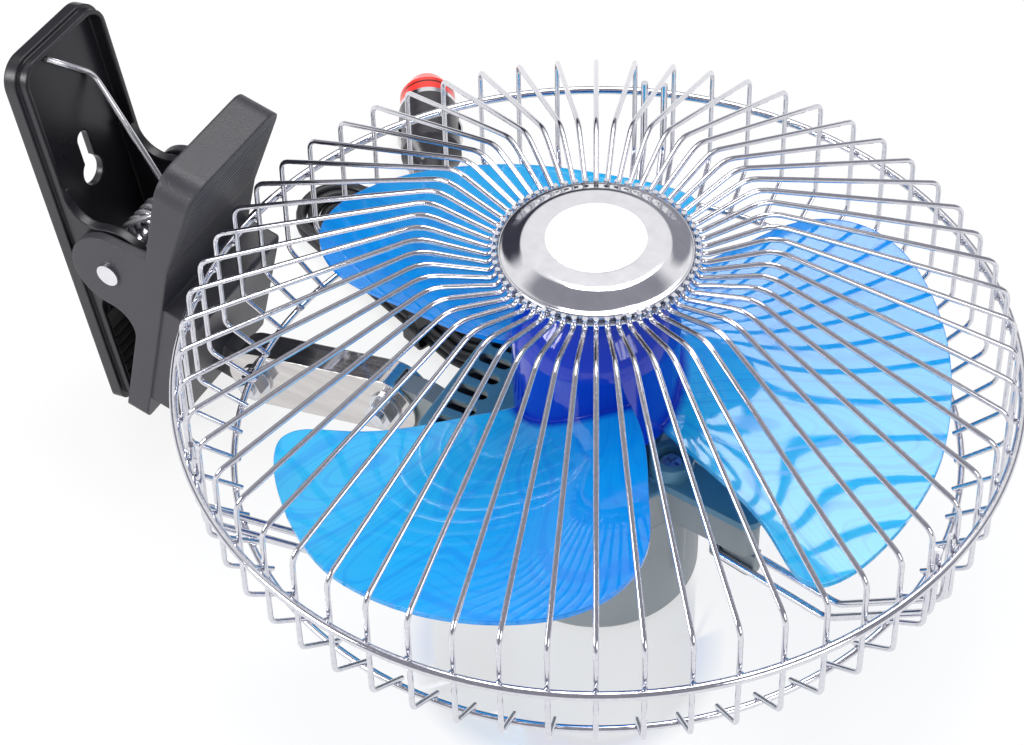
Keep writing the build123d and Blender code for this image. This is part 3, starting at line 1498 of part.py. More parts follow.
# Tail: from the hank's upper layer to the plug
tail_start = hank_points[-1] + hank_along * seat_gap
tail_end = plug_rear - plug_along * seat_gap
tail_leave = tail_start + hank_along * tail_first_run
tail_arrive = tail_end - plug_along * tail_last_run
tail_route = [
    (tail_start.X, tail_start.Y, tail_start.Z),
    (tail_leave.X, tail_leave.Y, tail_start.Z),
    (tail_arrive.X, tail_arrive.Y, tail_end.Z),
    (tail_end.X, tail_end.Y, tail_end.Z),
]
tail_radii = route_radii(tail_route)
print("cord tail: radii", [round(radius, 1) for radius in tail_radii])

with BuildPart() as cord_tail:
    with BuildLine() as cord_tail_line:
        FilletPolyline(*tail_route, radius=tail_radii)
    with BuildSketch(Plane(origin=tail_start, x_dir=(0, 0, 1), z_dir=hank_along)):
        Circle(cord_diameter / 2)
    sweep(path=cord_tail_line.wires()[0])
print("cord tail: length", round(cord_tail_line.wires()[0].length), "mm")
cord_tail.part.label = "cord_tail"
export_step(cord_tail.part, "parts/cord_tail.step")

# Tie: flat band round the hank
tie_half = north_runs[0] + cord_diameter / 2 + tie_gap
tie_room_height = hank_pitch + cord_diameter + 2 * tie_gap
tie_middle = hank_at(tie_along, 0, 0.5)
tie_plane = Plane(origin=tie_middle, x_dir=hank_north, z_dir=hank_along)
tie_corner = cord_diameter / 2
with BuildPart() as hank_tie:
    with BuildSketch(tie_plane):
        RectangleRounded(
            2 * (tie_half + tie_thickness),
            tie_room_height + 2 * tie_thickness,
            tie_corner + tie_thickness,
        )
        RectangleRounded(2 * tie_half, tie_room_height, tie_corner, mode=Mode.SUBTRACT)
    extrude(amount=tie_width / 2, both=True)
hank_tie.part.label = "hank_tie"
export_step(hank_tie.part, "parts/hank_tie.step")

# Plug body: moulded shell with a tapered cord end and pockets for the side contacts
plug_bore = plug_tip_flange_radius + clearance
contact_middle = (contact_low + contact_high) / 2
with BuildPart() as plug_body:
    with BuildSketch(plug_section):
        with BuildLine():
            Polyline(
                (0, 0),
                (0, plug_tail_radius),
                (plug_neck, plug_neck_radius),
                (plug_shoulder, plug_radius),
                (plug_body_end, plug_radius),
                (plug_body_end, 0),
                close=True,
            )
        make_face()
    revolve(axis=plug_axis)
    with BuildSketch(plug_section):
        with Locations((contact_middle, 0)):
            Rectangle(contact_high - contact_low + 2 * clearance, contact_width + 2 * clearance)
    extrude(amount=plug_radius + overrun, both=True, mode=Mode.SUBTRACT)
    with BuildSketch(plug_plane(plug_shoulder)):
        Circle(plug_radius - contact_pocket)
    extrude(amount=plug_body_end - plug_shoulder - clearance)
plug_body.part.label = "plug_body"
export_step(plug_body.part, "parts/plug_body.step")

# Plug side contacts: bowed spring leaves in the pockets
contact_floor = plug_radius - contact_pocket + seat_gap
contact_top = plug_radius + contact_bulge
with BuildPart() as plug_contact:
    with BuildSketch(Plane.XY):
        with BuildLine():
            ThreePointArc(
                (contact_low, contact_floor),
                (contact_middle, contact_top - contact_sheet),
                (contact_high, contact_floor),
            )
            Line((contact_high, contact_floor), (contact_high, contact_floor + contact_sheet))
            ThreePointArc(
                (contact_high, contact_floor + contact_sheet),
                (contact_middle, contact_top),
                (contact_low, contact_floor + contact_sheet),
            )
            Line((contact_low, contact_floor + contact_sheet), (contact_low, contact_floor))
        make_face()
    extrude(amount=contact_width / 2, both=True)

plug_place = Plane(origin=plug_rear, x_dir=plug_along, z_dir=(0, 0, 1)).location
plug_contacts = Compound(
    [plug_place * Location((0, 0, 0), (turn, 0, 0)) * plug_contact.part.solids()[0] for turn in (0, 180)]
)
plug_contacts.label = "plug_contacts"
export_step(plug_contacts, "parts/plug_contacts.step")

# Plug band: plated ring between body and nose
plug_band_at = plug_body_end + seat_gap
plug_nose_at = plug_band_at + plug_band_length + seat_gap
plug_nose_end = plug_nose_at + plug_nose_length
tip_hole = plug_tip_radius + clearance
with BuildPart() as plug_band:
    with BuildSketch(plug_plane(plug_band_at)):
        Circle(plug_band_radius)
        Circle(plug_bore, mode=Mode.SUBTRACT)
    extrude(amount=plug_band_length)
plug_band.part.label = "plug_band"
export_step(plug_band.part, "parts/plug_band.step")

# Plug nose: tapered screw cap that holds the tip contact
with BuildPart() as plug_nose:
    with BuildSketch(plug_section):
        with BuildLine():
            Polyline(
                (plug_nose_at, plug_bore),
                (plug_nose_at, plug_nose_root_radius),
                (plug_nose_at + plug_nose_length / 2, plug_nose_root_radius),
                (plug_nose_end, plug_nose_tip_radius),
                (plug_nose_end, tip_hole),
                (plug_nose_end - plug_nose_wall, tip_hole),
                (plug_nose_end - plug_nose_wall, plug_bore),
                close=True,
            )
        make_face()
    revolve(axis=plug_axis)
plug_nose.part.label = "plug_nose"
export_step(plug_nose.part, "parts/plug_nose.step")

# Plug tip: sprung contact that slides back into the nose
tip_flange_at = plug_nose_end - plug_nose_wall - seat_gap - plug_tip_flange
with BuildPart() as plug_tip_contact:
    with BuildSketch(plug_plane(tip_flange_at)):
        Circle(plug_tip_flange_radius)
    extrude(amount=plug_tip_flange)
    with BuildSketch(plug_plane(tip_flange_at + plug_tip_flange)):
        Circle(plug_tip_radius)
    extrude(amount=plug_nose_wall + seat_gap + plug_tip_out)
    tip_end = plug_tip_contact.faces().sort_by(plug_axis)[-1]
    fillet(tip_end.edges(), plug_tip_out / 2)
plug_tip_contact.part.label = "plug_tip_contact"
export_step(plug_tip_contact.part, "parts/plug_tip_contact.step")
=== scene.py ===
from math import cos, pi, radians, sin, tan

import bmesh
import bpy
from mathutils import Matrix, Vector


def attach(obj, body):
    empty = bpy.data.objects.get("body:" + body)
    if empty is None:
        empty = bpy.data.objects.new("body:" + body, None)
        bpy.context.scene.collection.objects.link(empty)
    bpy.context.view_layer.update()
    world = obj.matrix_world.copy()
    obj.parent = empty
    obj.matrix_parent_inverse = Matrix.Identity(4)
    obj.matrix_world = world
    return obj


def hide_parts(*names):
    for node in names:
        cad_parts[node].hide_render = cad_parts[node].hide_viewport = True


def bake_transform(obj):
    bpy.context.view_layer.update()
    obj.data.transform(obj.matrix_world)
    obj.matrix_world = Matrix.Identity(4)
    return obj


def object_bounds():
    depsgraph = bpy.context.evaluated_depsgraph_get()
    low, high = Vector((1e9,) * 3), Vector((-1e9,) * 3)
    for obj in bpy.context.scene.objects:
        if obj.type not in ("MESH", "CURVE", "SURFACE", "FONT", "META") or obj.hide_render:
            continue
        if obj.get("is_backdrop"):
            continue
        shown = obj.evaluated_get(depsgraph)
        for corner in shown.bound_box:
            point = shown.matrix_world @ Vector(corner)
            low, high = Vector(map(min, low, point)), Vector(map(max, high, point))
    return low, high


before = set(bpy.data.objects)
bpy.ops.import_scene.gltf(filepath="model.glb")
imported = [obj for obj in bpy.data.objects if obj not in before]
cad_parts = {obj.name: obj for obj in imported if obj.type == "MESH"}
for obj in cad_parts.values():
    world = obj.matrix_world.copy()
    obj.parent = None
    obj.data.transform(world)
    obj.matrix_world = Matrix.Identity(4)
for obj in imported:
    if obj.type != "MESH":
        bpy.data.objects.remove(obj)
cad_box = [list(corner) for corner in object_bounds()]
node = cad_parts


# Studio table: a white sheet, bright enough to read as a white page, that still takes the fan's soft shadow; a gloss
# pane under the housing gives back a pale mirror image of it.
class Value:
    """A shader socket that sums can be written with; each operation adds its Math node."""

    def __init__(self, tree, socket):
        self.tree = tree
        self.socket = socket

    def math(self, operation, first, second):
        """One Math node on two values."""
        maths = self.tree.nodes.new("ShaderNodeMath")
        maths.operation = operation
        for place, value in enumerate((first, second)):
            if isinstance(value, Value):
                self.tree.links.new(value.socket, maths.inputs[place])
            else:
                maths.inputs[place].default_value = value
        return Value(self.tree, maths.outputs[0])

    def __add__(self, other):
        return self.math("ADD", self, other)

    def __radd__(self, other):
        return self.math("ADD", other, self)

    def __sub__(self, other):
        return self.math("SUBTRACT", self, other)

    def __rsub__(self, other):
        return self.math("SUBTRACT", other, self)

    def __mul__(self, other):
        return self.math("MULTIPLY", self, other)

    def __rmul__(self, other):
        return self.math("MULTIPLY", other, self)

    def __truediv__(self, other):
        return self.math("DIVIDE", self, other)

    def __pow__(self, other):
        return self.math("POWER", self, other)

    def __gt__(self, other):
        return self.math("GREATER_THAN", self, other)

    def __lt__(self, other):
        return self.math("LESS_THAN", self, other)

    def wave(self):
        """Sine of the value."""
        return self.math("SINE", self, 0.0)

    def at_most(self, other):
        """The smaller of two values."""
        return self.math("MINIMUM", self, other)

    def at_least(self, other):
        """The larger of two values."""
        return self.math("MAXIMUM", self, other)

    def share(self):
        """The value held between 0 and 1."""
        return self.at_least(0.0).at_most(1.0)


class Finish:
    """A node tree that a finish is mixed in: a material's, or the world's."""

    def __init__(self, tree):
        self.tree = tree
        tree.nodes.clear()

    def add(self, kind, settings=None, sockets=None, out=0):
        """One node: its settings first, then the values or links of its sockets. Gives back one output."""
        made = self.tree.nodes.new("ShaderNode" + kind)
        for name, value in (settings or {}).items():
            setattr(made, name, value)
        for name, value in (sockets or {}).items():
            if isinstance(value, Value):
                self.tree.links.new(value.socket, made.inputs[name])
            else:
                made.inputs[name].default_value = value
        return Value(self.tree, made.outputs[out]) if made.outputs else None

    def place(self):
        """Where a point of the piece is, in the fan's own frame."""
        return self.add("TexCoord", out="Object")

    def noise(self, scale, detail=2.0, where=None):
        """Soft random blotches, about 1 / scale metres across."""
        where = where or self.place()
        return self.add("TexNoise", None, {"Vector": where, "Scale": scale, "Detail": detail})

    def blend(self, share, first, second):
        """A colour between two others."""
        mixed = {0: share, 6: first, 7: second}
        return self.add("Mix", {"data_type": "RGBA"}, mixed, out=2)

    def bump(self, height, depth, strength=1.0, edge=0.0):
        """Relief of that depth in metres, on edges rounded off by the edge radius."""
        relief = {"Height": height, "Distance": depth, "Strength": strength}
        if edge:
            relief["Normal"] = self.add("Bevel", {"samples": 6}, {"Radius": edge})
        return self.add("Bump", None, relief)

    def along(self, where, way):
        """How far a place lies along a direction."""
        return self.add("VectorMath", {"operation": "DOT_PRODUCT"}, {0: where, 1: way}, out="Value")

    def surface(self, **values):
        """The finish itself, from the main shader's own sockets."""
        sockets = {name.replace("_", " "): value for name, value in values.items()}
        shader = self.add("BsdfPrincipled", None, sockets)
        self.add("OutputMaterial", None, {"Surface": shader})


def srgb(red, green, blue):
    """A colour as a picture gives it, 0 to 255, made linear."""
    shares = [part / 255 for part in (red, green, blue)]
    linear = [share / 12.92 if share <= 0.04045 else ((share + 0.055) / 1.055) ** 2.4 for share in shares]
    return (*linear, 1.0)


def new_finish(name):
    """An empty material and its node tree."""
    material = bpy.data.materials.new(name)
    material.use_nodes = True
    return material, Finish(material.node_tree)


table_bm = bmesh.new()
bmesh.ops.create_grid(table_bm, x_segments=1, y_segments=1, size=6.0)
table_mesh = bpy.data.meshes.new("table")
table_bm.to_mesh(table_mesh)
table_bm.free()
table = bpy.data.objects.new("table", table_mesh)
bpy.context.scene.collection.objects.link(table)
table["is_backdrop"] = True
white_sheet, mix = new_finish("white_sheet")
seen = mix.add("LightPath", out="Is Camera Ray")
mirrored = mix.add("LightPath", out="Is Glossy Ray")
through = mix.add("LightPath", out="Is Transmission Ray")
page = mix.add("Emission", None, {"Color": (1, 1, 1, 1), "Strength": 1.0})
sheet = mix.add("BsdfPrincipled", None, {"Base Color": srgb(244, 244, 246), "Roughness": 0.5})
share = (seen + mirrored + through).at_most(1.0) * 0.82
white = mix.add("MixShader", None, {0: share, 1: sheet, 2: page})
gloss = mix.add("BsdfGlossy", None, {"Color": (0.96, 0.96, 0.97, 1), "Roughness": 0.05})
pane_middle = (0.007, -0.034, 0.0)
away = mix.add("VectorMath", {"operation": "DISTANCE"}, {0: mix.place(), 1: pane_middle}, out="Value")
pane_reach = 0.047
pane = ((pane_reach - away) * 130.0).share() * seen * 0.26
polished = mix.add("MixShader", None, {0: pane, 1: white, 2: gloss})
mix.add("OutputMaterial", None, {"Surface": polished})
table_mesh.materials.append(white_sheet)

# Studio light: a white upper room that metal and gloss pick up, dark low walls and a dark place behind the viewer,
# one soft box overhead and a smaller one from each side.
bpy.context.scene.view_settings.view_transform = "Standard"
world = bpy.data.worlds.new("studio")
bpy.context.scene.world = world
world.use_nodes = True
mix = Finish(world.node_tree)
seen = mix.add("LightPath", out="Is Camera Ray")
mirrored = mix.add("LightPath", out="Is Glossy Ray")
way = mix.add("TexCoord", out="Generated")
viewer = Vector((0.351, -0.607, 0.713))
facing = mix.along(way, viewer)
upward = mix.add("SeparateXYZ", None, {0: way}, out="Z")
above = ((upward - 0.48) * 9.0).share()
apart = ((0.46 - facing) * 5.0).share()
dark_corner = Vector((-0.66, 0.57, 0.49)).normalized()
cornered = mix.along(way, dark_corner)
corner = ((cornered - 0.87) * 25.0).share()
walls = mix.blend(corner, (0.32, 0.32, 0.36, 1), (0.05, 0.05, 0.07, 1))
room = mix.blend(above * apart, walls, (1, 1, 1, 1))
even = (0.52, 0.52, 0.535, 1)
light = mix.blend(mirrored, even, room)
light = mix.blend(seen, light, (1, 1, 1, 1))
mix.add("OutputWorld", None, {"Surface": mix.add("Background", None, {"Color": light, "Strength": 1.0})})


def soft_box(name, at, size, watts):
    """A square lamp aimed at the fan's middle."""
    lamp = bpy.data.lights.new(name, "AREA")
    lamp.shape = "SQUARE"
    lamp.size = size
    lamp.energy = watts
    holder = bpy.data.objects.new(name, lamp)
    aim = Vector((0, 0, 0.07)) - Vector(at)
    holder.matrix_world = Matrix.Translation(at) @ aim.to_track_quat("-Z", "Y").to_matrix().to_4x4()
    bpy.context.scene.collection.objects.link(holder)


soft_box("soft_box_top", (-0.05, 0.38, 1.1), 0.6, 7.5)
soft_box("soft_box_right", (1.0, -0.35, 0.55), 0.5, 4.0)
soft_box("soft_box_left", (-0.75, -0.8, 0.6), 0.5, 10.0)

# Camera: a long lens from the photograph's place, a little to the right of the clip's own plane.
view_right = Vector((0.877079, 0.479813, -0.022639))
view_up = Vector((-0.328270, 0.633139, 0.700981))
view_ahead = Vector((-0.350673, 0.607384, -0.712820))
lens = bpy.data.cameras.new("camera")
lens.sensor_width = 36.0
lens.lens = 36.0 * 2542.85 / 1024
lens.clip_start = 0.05
camera = bpy.data.objects.new("camera", lens)
turn = Matrix((view_right, view_up, -view_ahead)).transposed()
camera.matrix_world = Matrix.Translation((0.224474, -0.434887, 0.573281)) @ turn.to_4x4()
bpy.context.scene.collection.objects.link(camera)
bpy.context.scene.camera = camera


# Rear housing and front cover: satin grey mouldings that split at a seam and hold the motor, finely grained. Above
# the cover's face height the colour is painted shade, a darker blue slate, while the sides keep the paler grey;
# three arms, six slots and the screw bosses are moulded in.
def dress(names, material):
    """Give carried-over pieces their finish."""
    for name in names.split():
        for slot in node[name].material_slots:
            slot.material = material


MM = 0.001
housing_grey, mix = new_finish("housing_grey")
height = mix.add("SeparateXYZ", None, {0: mix.place()}, out="Z")
cover_face = 52.2 * MM
# Painted shade: faces above the cover's face height get a darker, blue-tinted slate for the shade of the blue blades
# above.
painted_shade_mask = ((height - cover_face) * 2500.0).share()
cloud = mix.noise(45.0, 3.0)
grain = mix.noise(5200.0, 2.0)
sides = mix.blend(cloud, srgb(124, 131, 133), srgb(148, 154, 155))
painted_shade_slate = mix.blend(cloud, srgb(68, 118, 142), srgb(86, 136, 158))
mix.surface(
    Base_Color=mix.blend(painted_shade_mask, sides, painted_shade_slate),
    Roughness=0.34 + 0.14 * grain,
    Normal=mix.bump(grain, 0.00006, 0.5, 0.0006),
)
dress("rear_housing front_cover strut_clamps", housing_grey)

# Screws, bolts, nuts and washers: zinc-plated steel, turned and rolled, with fine turning marks; the cover's screws
# are painted bluish as a painted reflection of the blue blades above them.
zinc_plate, mix = new_finish("zinc_plate")
marks = mix.noise(1400.0, 3.0)
bloom = mix.noise(240.0, 2.0)
mix.surface(
    Base_Color=mix.blend(bloom, srgb(186, 190, 198), srgb(228, 228, 230)),
    Metallic=1.0,
    Roughness=0.1 + 0.14 * marks,
    Normal=mix.bump(marks, 0.00002, 0.15, 0.0003),
)
dress("tilt_bolt tilt_washer tilt_nut clip_bolt clip_washer clip_nut clamp_screws", zinc_plate)
# Painted reflection: the cover screws' blue base colour stands for the blue blades mirrored in them.
zinc_painted_blue_reflection, mix = new_finish("zinc_painted_blue_reflection")
marks = mix.noise(1400.0, 3.0)
mix.surface(
    Base_Color=mix.blend(marks, srgb(120, 164, 214), srgb(190, 214, 240)),
    Metallic=0.5 + 0.3 * marks,
    Roughness=0.14 + 0.16 * marks,
    Normal=mix.bump(marks, 0.00002, 0.2, 0.0002),
)
dress("cover_screws", zinc_painted_blue_reflection)

# Rocker switch: gloss black frame clipped through the lobe's floor, with a softer rocker in it.
switch_black, mix = new_finish("switch_black")
haze = mix.noise(700.0, 3.0)
mix.surface(
    Base_Color=mix.blend(haze, srgb(16, 16, 18), srgb(30, 30, 33)),
    Roughness=0.18 + 0.16 * haze,
    Normal=mix.bump(mix.noise(3800.0), 0.00003, 0.4),
)
dress("switch_body switch_rocker", switch_black)

# Motor: drawn steel can with a moulded end cap, ferrite magnets, a laminated armature with copper windings and
# commutator, carbon brushes and bronze bushes; out of sight in the housing.
drawn_steel, mix = new_finish("drawn_steel")
streaks = mix.noise(900.0, 4.0)
mix.surface(
    Base_Color=mix.blend(streaks, srgb(150, 152, 156), srgb(188, 189, 192)),
    Metallic=1.0,
    Roughness=0.26 + 0.2 * streaks,
)
dress("motor_can motor_shaft armature_core", drawn_steel)
dark_moulding, mix = new_finish("dark_moulding")
haze = mix.noise(1200.0, 3.0)
mix.surface(Base_Color=mix.blend(haze, srgb(30, 30, 32), srgb(48, 48, 51)), Roughness=0.45 + 0.2 * haze)
dress("motor_end_cap", dark_moulding)
ferrite, mix = new_finish("ferrite")
pores = mix.noise(3000.0, 4.0)
mix.surface(
    Base_Color=mix.blend(pores, srgb(38, 38, 40), srgb(66, 65, 65)),
    Roughness=0.6 + 0.2 * pores,
    Normal=mix.bump(pores, 0.00005),
)
dress("motor_magnets motor_brushes", ferrite)
copper, mix = new_finish("copper")
tarnish = mix.noise(600.0, 3.0)
turns = mix.add("TexWave", {"bands_direction": "Z"}, {"Vector": mix.place(), "Scale": 700.0})
mix.surface(
    Base_Color=mix.blend(tarnish, srgb(150, 82, 48), srgb(206, 128, 84)),
    Metallic=1.0,
    Roughness=0.22 + 0.2 * tarnish,
    Normal=mix.bump(turns, 0.0001, 0.6),
)
dress("armature_windings commutator", copper)
bronze, mix = new_finish("bronze")
pores = mix.noise(3500.0, 3.0)
mix.surface(
    Base_Color=mix.blend(pores, srgb(130, 96, 52), srgb(176, 136, 82)),
    Metallic=1.0,
    Roughness=0.3 + 0.25 * pores,
    Normal=mix.bump(pores, 0.00003),
)
dress("front_bush rear_bush", bronze)


# Impeller: one moulding of clear blue plastic, a domed hub and three broad twisted blades. The blades let light
# through; below their crest they are painted a lighter azure as painted light, and wavy darker bands in their colour
# are painted reflections, which also ripple the gloss's roughness; the thick hub is deeper blue.
clear_blue, mix = new_finish("clear_blue")
at = mix.place()
east = mix.add("SeparateXYZ", None, {0: at}, out="X")
north = mix.add("SeparateXYZ", None, {0: at}, out="Y")
height = mix.add("SeparateXYZ", None, {0: at}, out="Z")
reach = (east * east + north * north) ** 0.5
hub_edge = 26.2 * MM
hub = ((hub_edge - reach) * 420.0).share()
blade_crest = 88.0 * MM
# Painted light: the blades are painted a lighter azure below their crest, standing in for reflected light and the
# white table's light through them.
low = ((blade_crest - height) * 42.0).share()
fanned = {"X": east / reach * 1.9, "Y": north / reach * 1.9, "Z": reach * 13.0}
# Painted reflection: wavy darker bands in the blade colour stand in for broken-up reflections on the gloss; the
# broad bands also ripple the roughness.
flow = mix.noise(1.0, 0.5, mix.add("CombineXYZ", None, fanned))
crests = (flow * 58.0).wave()
ripple_and_painted_bands = ((crests - 0.78) * 6.0).share()
fine_painted_bands = (((flow * 210.0).wave() - 0.7) * 4.0).share()
blades = mix.blend(low, srgb(0, 154, 250), srgb(48, 200, 252))
blades = mix.blend((ripple_and_painted_bands * 0.3).at_least(fine_painted_bands * 0.22), blades, srgb(0, 124, 240))
mix.surface(
    Base_Color=mix.blend(hub, blades, srgb(6, 58, 204)),
    Roughness=0.04 + 0.05 * ripple_and_painted_bands,
    Normal=mix.bump(mix.noise(12.0, 0.5), 0.00015, 0.5, 0.0005),
    Transmission_Weight=0.3,
    IOR=1.49,
    Specular_IOR_Level=0.65,
)
dress("impeller", clear_blue)


# Guard: sixty bright-plated wires, each bent at the mouth, crown, front rim and rear rim and hooked inward, welded
# to a heavy ring outside, a rear ring and two thin rings at the mouth; three hairpin struts carry it on the arms.
def bent_rod(bm, route, bends, thickness, sides):
    """A round rod through a route's points: its runs are extruded, its bends are spun, its ends are closed."""
    points = [Vector(point) for point in route]
    ahead = (points[1] - points[0]).normalized()
    lay = Matrix.Translation(points[0]) @ ahead.to_track_quat("Z", "Y").to_matrix().to_4x4()
    first = bmesh.ops.create_circle(bm, segments=sides, radius=thickness / 2, matrix=lay)
    ring = list({edge for vert in first["verts"] for edge in vert.link_edges})
    start = ring
    here = points[0]
    for index, bend in enumerate(bends + [None]):
        goal = points[index + 1]
        along = (goal - here).normalized()
        stop = goal
        if bend:
            after = (points[index + 2] - goal).normalized()
            swing = along.angle(after)
            stop = goal - along * bend * tan(swing / 2)
        grown = bmesh.ops.extrude_edge_only(bm, edges=ring)["geom"]
        bmesh.ops.translate(bm, verts=[v for v in grown if isinstance(v, bmesh.types.BMVert)], vec=stop - here)
        ring = [edge for edge in grown if isinstance(edge, bmesh.types.BMEdge) and edge.is_boundary]
        here = stop
        if bend:
            axis = along.cross(after).normalized()
            inward = axis.cross(along)
            ends = list({vert for edge in ring for vert in edge.verts})
            steps = max(3, round(swing * 4))
            middle = stop + inward * bend
            spun = bmesh.ops.spin(bm, geom=ends + ring, cent=middle, axis=axis, angle=swing, steps=steps)
            ring = [edge for edge in spun["geom_last"] if isinstance(edge, bmesh.types.BMEdge)]
            here = goal + after * bend * tan(swing / 2)
    for end in (start, ring):
        bmesh.ops.edgeloop_fill(bm, edges=end)


def add_piece(name, bm, material, body, slot, *stands_for):
    """Close off a mesh and hand it over: doubles merged, normals out, smooth, with its finish and its body."""
    bmesh.ops.remove_doubles(bm, verts=bm.verts, dist=0.000002)
    bmesh.ops.recalc_face_normals(bm, faces=bm.faces)
    mesh = bpy.data.meshes.new(name)
    bm.to_mesh(mesh)
    bm.free()
    mesh.shade_smooth()
    mesh.set_sharp_from_angle(angle=radians(40))
    mesh.materials.append(material)
    piece = bpy.data.objects.new(name, mesh)
    bpy.context.scene.collection.objects.link(piece)
    if body:
        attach(piece, body)
    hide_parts(*stands_for)
    return piece


def copy_round(bm, count, whole):
    """Repeat all that the mesh holds so far round the fan's axis."""
    step = whole / count
    geom = bm.verts[:] + bm.edges[:] + bm.faces[:]
    bmesh.ops.spin(
        bm, geom=geom, cent=(0, 0, 0), axis=(0, 0, 1), angle=whole - step, steps=count - 1, use_duplicate=True
    )


def ring_rod(bm, radius, height, thickness, steps):
    """A round rod closed into a ring about the fan's axis."""
    lay = Matrix.Translation((radius, 0, height)) @ Matrix.Rotation(pi / 2, 4, "X")
    first = bmesh.ops.create_circle(bm, segments=12, radius=thickness / 2, matrix=lay)
    edges = list({edge for vert in first["verts"] for edge in vert.link_edges})
    bmesh.ops.spin(
        bm, geom=first["verts"] + edges, cent=(0, 0, 0), axis=(0, 0, 1), angle=2 * pi, steps=steps, use_merge=True
    )


bright_wire, mix = new_finish("bright_wire")
scuffs = mix.noise(900.0, 3.0)
mix.surface(
    Base_Color=mix.blend(scuffs, srgb(198, 198, 208), srgb(232, 232, 236)),
    Metallic=1.0,
    Roughness=0.06 + 0.08 * scuffs,
    Normal=mix.bump(mix.noise(420.0), 0.00004, 0.5),
)
wire_at = radians(3.34)
wire_route = [(26.9, 122.1), (26.9, 118.7), (46.5, 125.4), (112.25, 95.0), (113.0, 60.1), (100.0, 51.0)]
wire_bends = [2.0 * MM, 9.0 * MM, 5.0 * MM, 4.0 * MM]
guard_bm = bmesh.new()
route = [Vector((r * cos(wire_at), r * sin(wire_at), z)) * MM for r, z in wire_route]
bent_rod(guard_bm, route, wire_bends, 1.5 * MM, 10)
for reach, level, size in ((114.0, 81.0, 1.05), (101.1, 50.9, 0.85), (26.2, 118.9, 0.7), (26.2, 121.5, 0.7)):
    weld = Matrix.Translation(Vector((reach * cos(wire_at), reach * sin(wire_at), level)) * MM)
    bmesh.ops.create_icosphere(guard_bm, subdivisions=1, radius=size * MM, matrix=weld)
copy_round(guard_bm, 60, 2 * pi)
add_piece("wires", guard_bm, bright_wire, "head", "guard_wire", "guard_wires")

ring_bm = bmesh.new()
ring_rod(ring_bm, 115.04 * MM, 81.0 * MM, 2.5 * MM, 180)
add_piece("heavy_ring", ring_bm, bright_wire, "head", "guard_wire", "guard_outer_ring")
ring_bm = bmesh.new()
ring_rod(ring_bm, 101.85 * MM, 50.1 * MM, 2.0 * MM, 180)
add_piece("rear_ring", ring_bm, bright_wire, "head", "guard_wire", "guard_rear_ring")
ring_bm = bmesh.new()
ring_rod(ring_bm, 25.5 * MM, 118.7 * MM, 1.2 * MM, 96)
ring_rod(ring_bm, 25.5 * MM, 121.6 * MM, 1.2 * MM, 96)
add_piece("mouth_rings", ring_bm, bright_wire, "head", "guard_wire", "guard_inner_rings")

strut_turn = Matrix.Rotation(radians(-11.66), 3, "Z")
strut_side = [(112.65, 86.5), (112.65, 62.1), (82.0, 36.0), (44.0, 36.0)]
strut_route = [(r, 3.0, z) for r, z in strut_side] + [(r, -3.0, z) for r, z in reversed(strut_side)]
strut_bends = [6.0 * MM, 6.0 * MM, 2.85 * MM, 2.85 * MM, 6.0 * MM, 6.0 * MM]
strut_bm = bmesh.new()
bent_rod(strut_bm, [strut_turn @ Vector(point) * MM for point in strut_route], strut_bends, 2.2 * MM, 12)
copy_round(strut_bm, 3, 2 * pi)
add_piece("struts", strut_bm, bright_wire, "head", "guard_wire", "guard_struts")

# Centre cap: a pressed and polished plate with a flat top, a crisp fold and a domed band down to its rim, which sits
# on the upper mouth ring; the skirt and its bent tabs hold it inside the rings.
cap_profile = [
    (0.0, 125.4), (12.0, 125.4), (18.4, 125.4), (19.1, 125.37), (19.7, 125.25), (20.2, 125.04), (21.2, 124.44),
    (22.2, 123.83), (23.2, 123.22), (24.2, 122.66), (24.9, 122.4), (25.3, 122.32), (25.38, 122.28), (25.3, 122.25),
    (24.83, 122.25), (24.83, 117.5), (24.25, 117.5), (24.25, 122.1), (20.0, 124.4), (0.0, 124.75),
]


def turned(profile, steps):
    """A mesh turned about the fan's axis from a profile of radius and height, in millimetres."""
    bm = bmesh.new()
    verts = [bm.verts.new((r * MM, 0, z * MM)) for r, z in profile]
    edges = [bm.edges.new(pair) for pair in zip(verts, verts[1:])]
    bmesh.ops.spin(
        bm, geom=verts + edges, cent=(0, 0, 0), axis=(0, 0, 1), angle=2 * pi, steps=steps, use_merge=True
    )
    return bm


polished_plate, mix = new_finish("polished_plate")
scuffs = mix.noise(300.0, 4.0)
mix.surface(
    Base_Color=mix.blend(scuffs, srgb(214, 214, 220), srgb(236, 236, 240)),
    Metallic=1.0,
    Roughness=0.07 + 0.06 * scuffs,
    Normal=mix.bump(mix.noise(55.0), 0.0003, 0.12),
)
add_piece("cap", turned(cap_profile, 120), polished_plate, "head", "chrome", "centre_cap")

# Cap label: a plain white film disc stuck on the cap's flat top, with one thin line pressed in near its edge.
label_profile = [
    (0.0, 125.68), (11.9, 125.68), (12.0, 125.62), (12.2, 125.62), (12.3, 125.68), (13.2, 125.68), (13.36, 125.6),
    (13.38, 125.42), (0.0, 125.42),
]
white_film, mix = new_finish("white_film")
haze = mix.noise(500.0, 2.0)
mix.surface(Base_Color=mix.blend(haze, srgb(240, 240, 244), srgb(248, 248, 250)), Roughness=0.22 + 0.1 * haze)
add_piece("label", turned(label_profile, 96), white_film, "head", "label", "cap_label")

# Link: a chromed U-channel with round ends, folded from sheet; a bolt through each end clamps it to the lobe's lug
# and to the clip's tongue.
channel_chrome, mix = new_finish("channel_chrome")
drawn = mix.add("Mapping", None, {"Vector": mix.place(), "Scale": (40.0, 900.0, 300.0)})
marks = mix.noise(1.0, 3.0, drawn)
mix.surface(
    Base_Color=mix.blend(marks, srgb(190, 186, 184), srgb(224, 221, 219)),
    Metallic=1.0,
    Roughness=0.06 + 0.1 * marks,
    Normal=mix.bump(mix.noise(180.0), 0.00004, 0.5, 0.0006),
)
dress("link_bracket", channel_chrome)

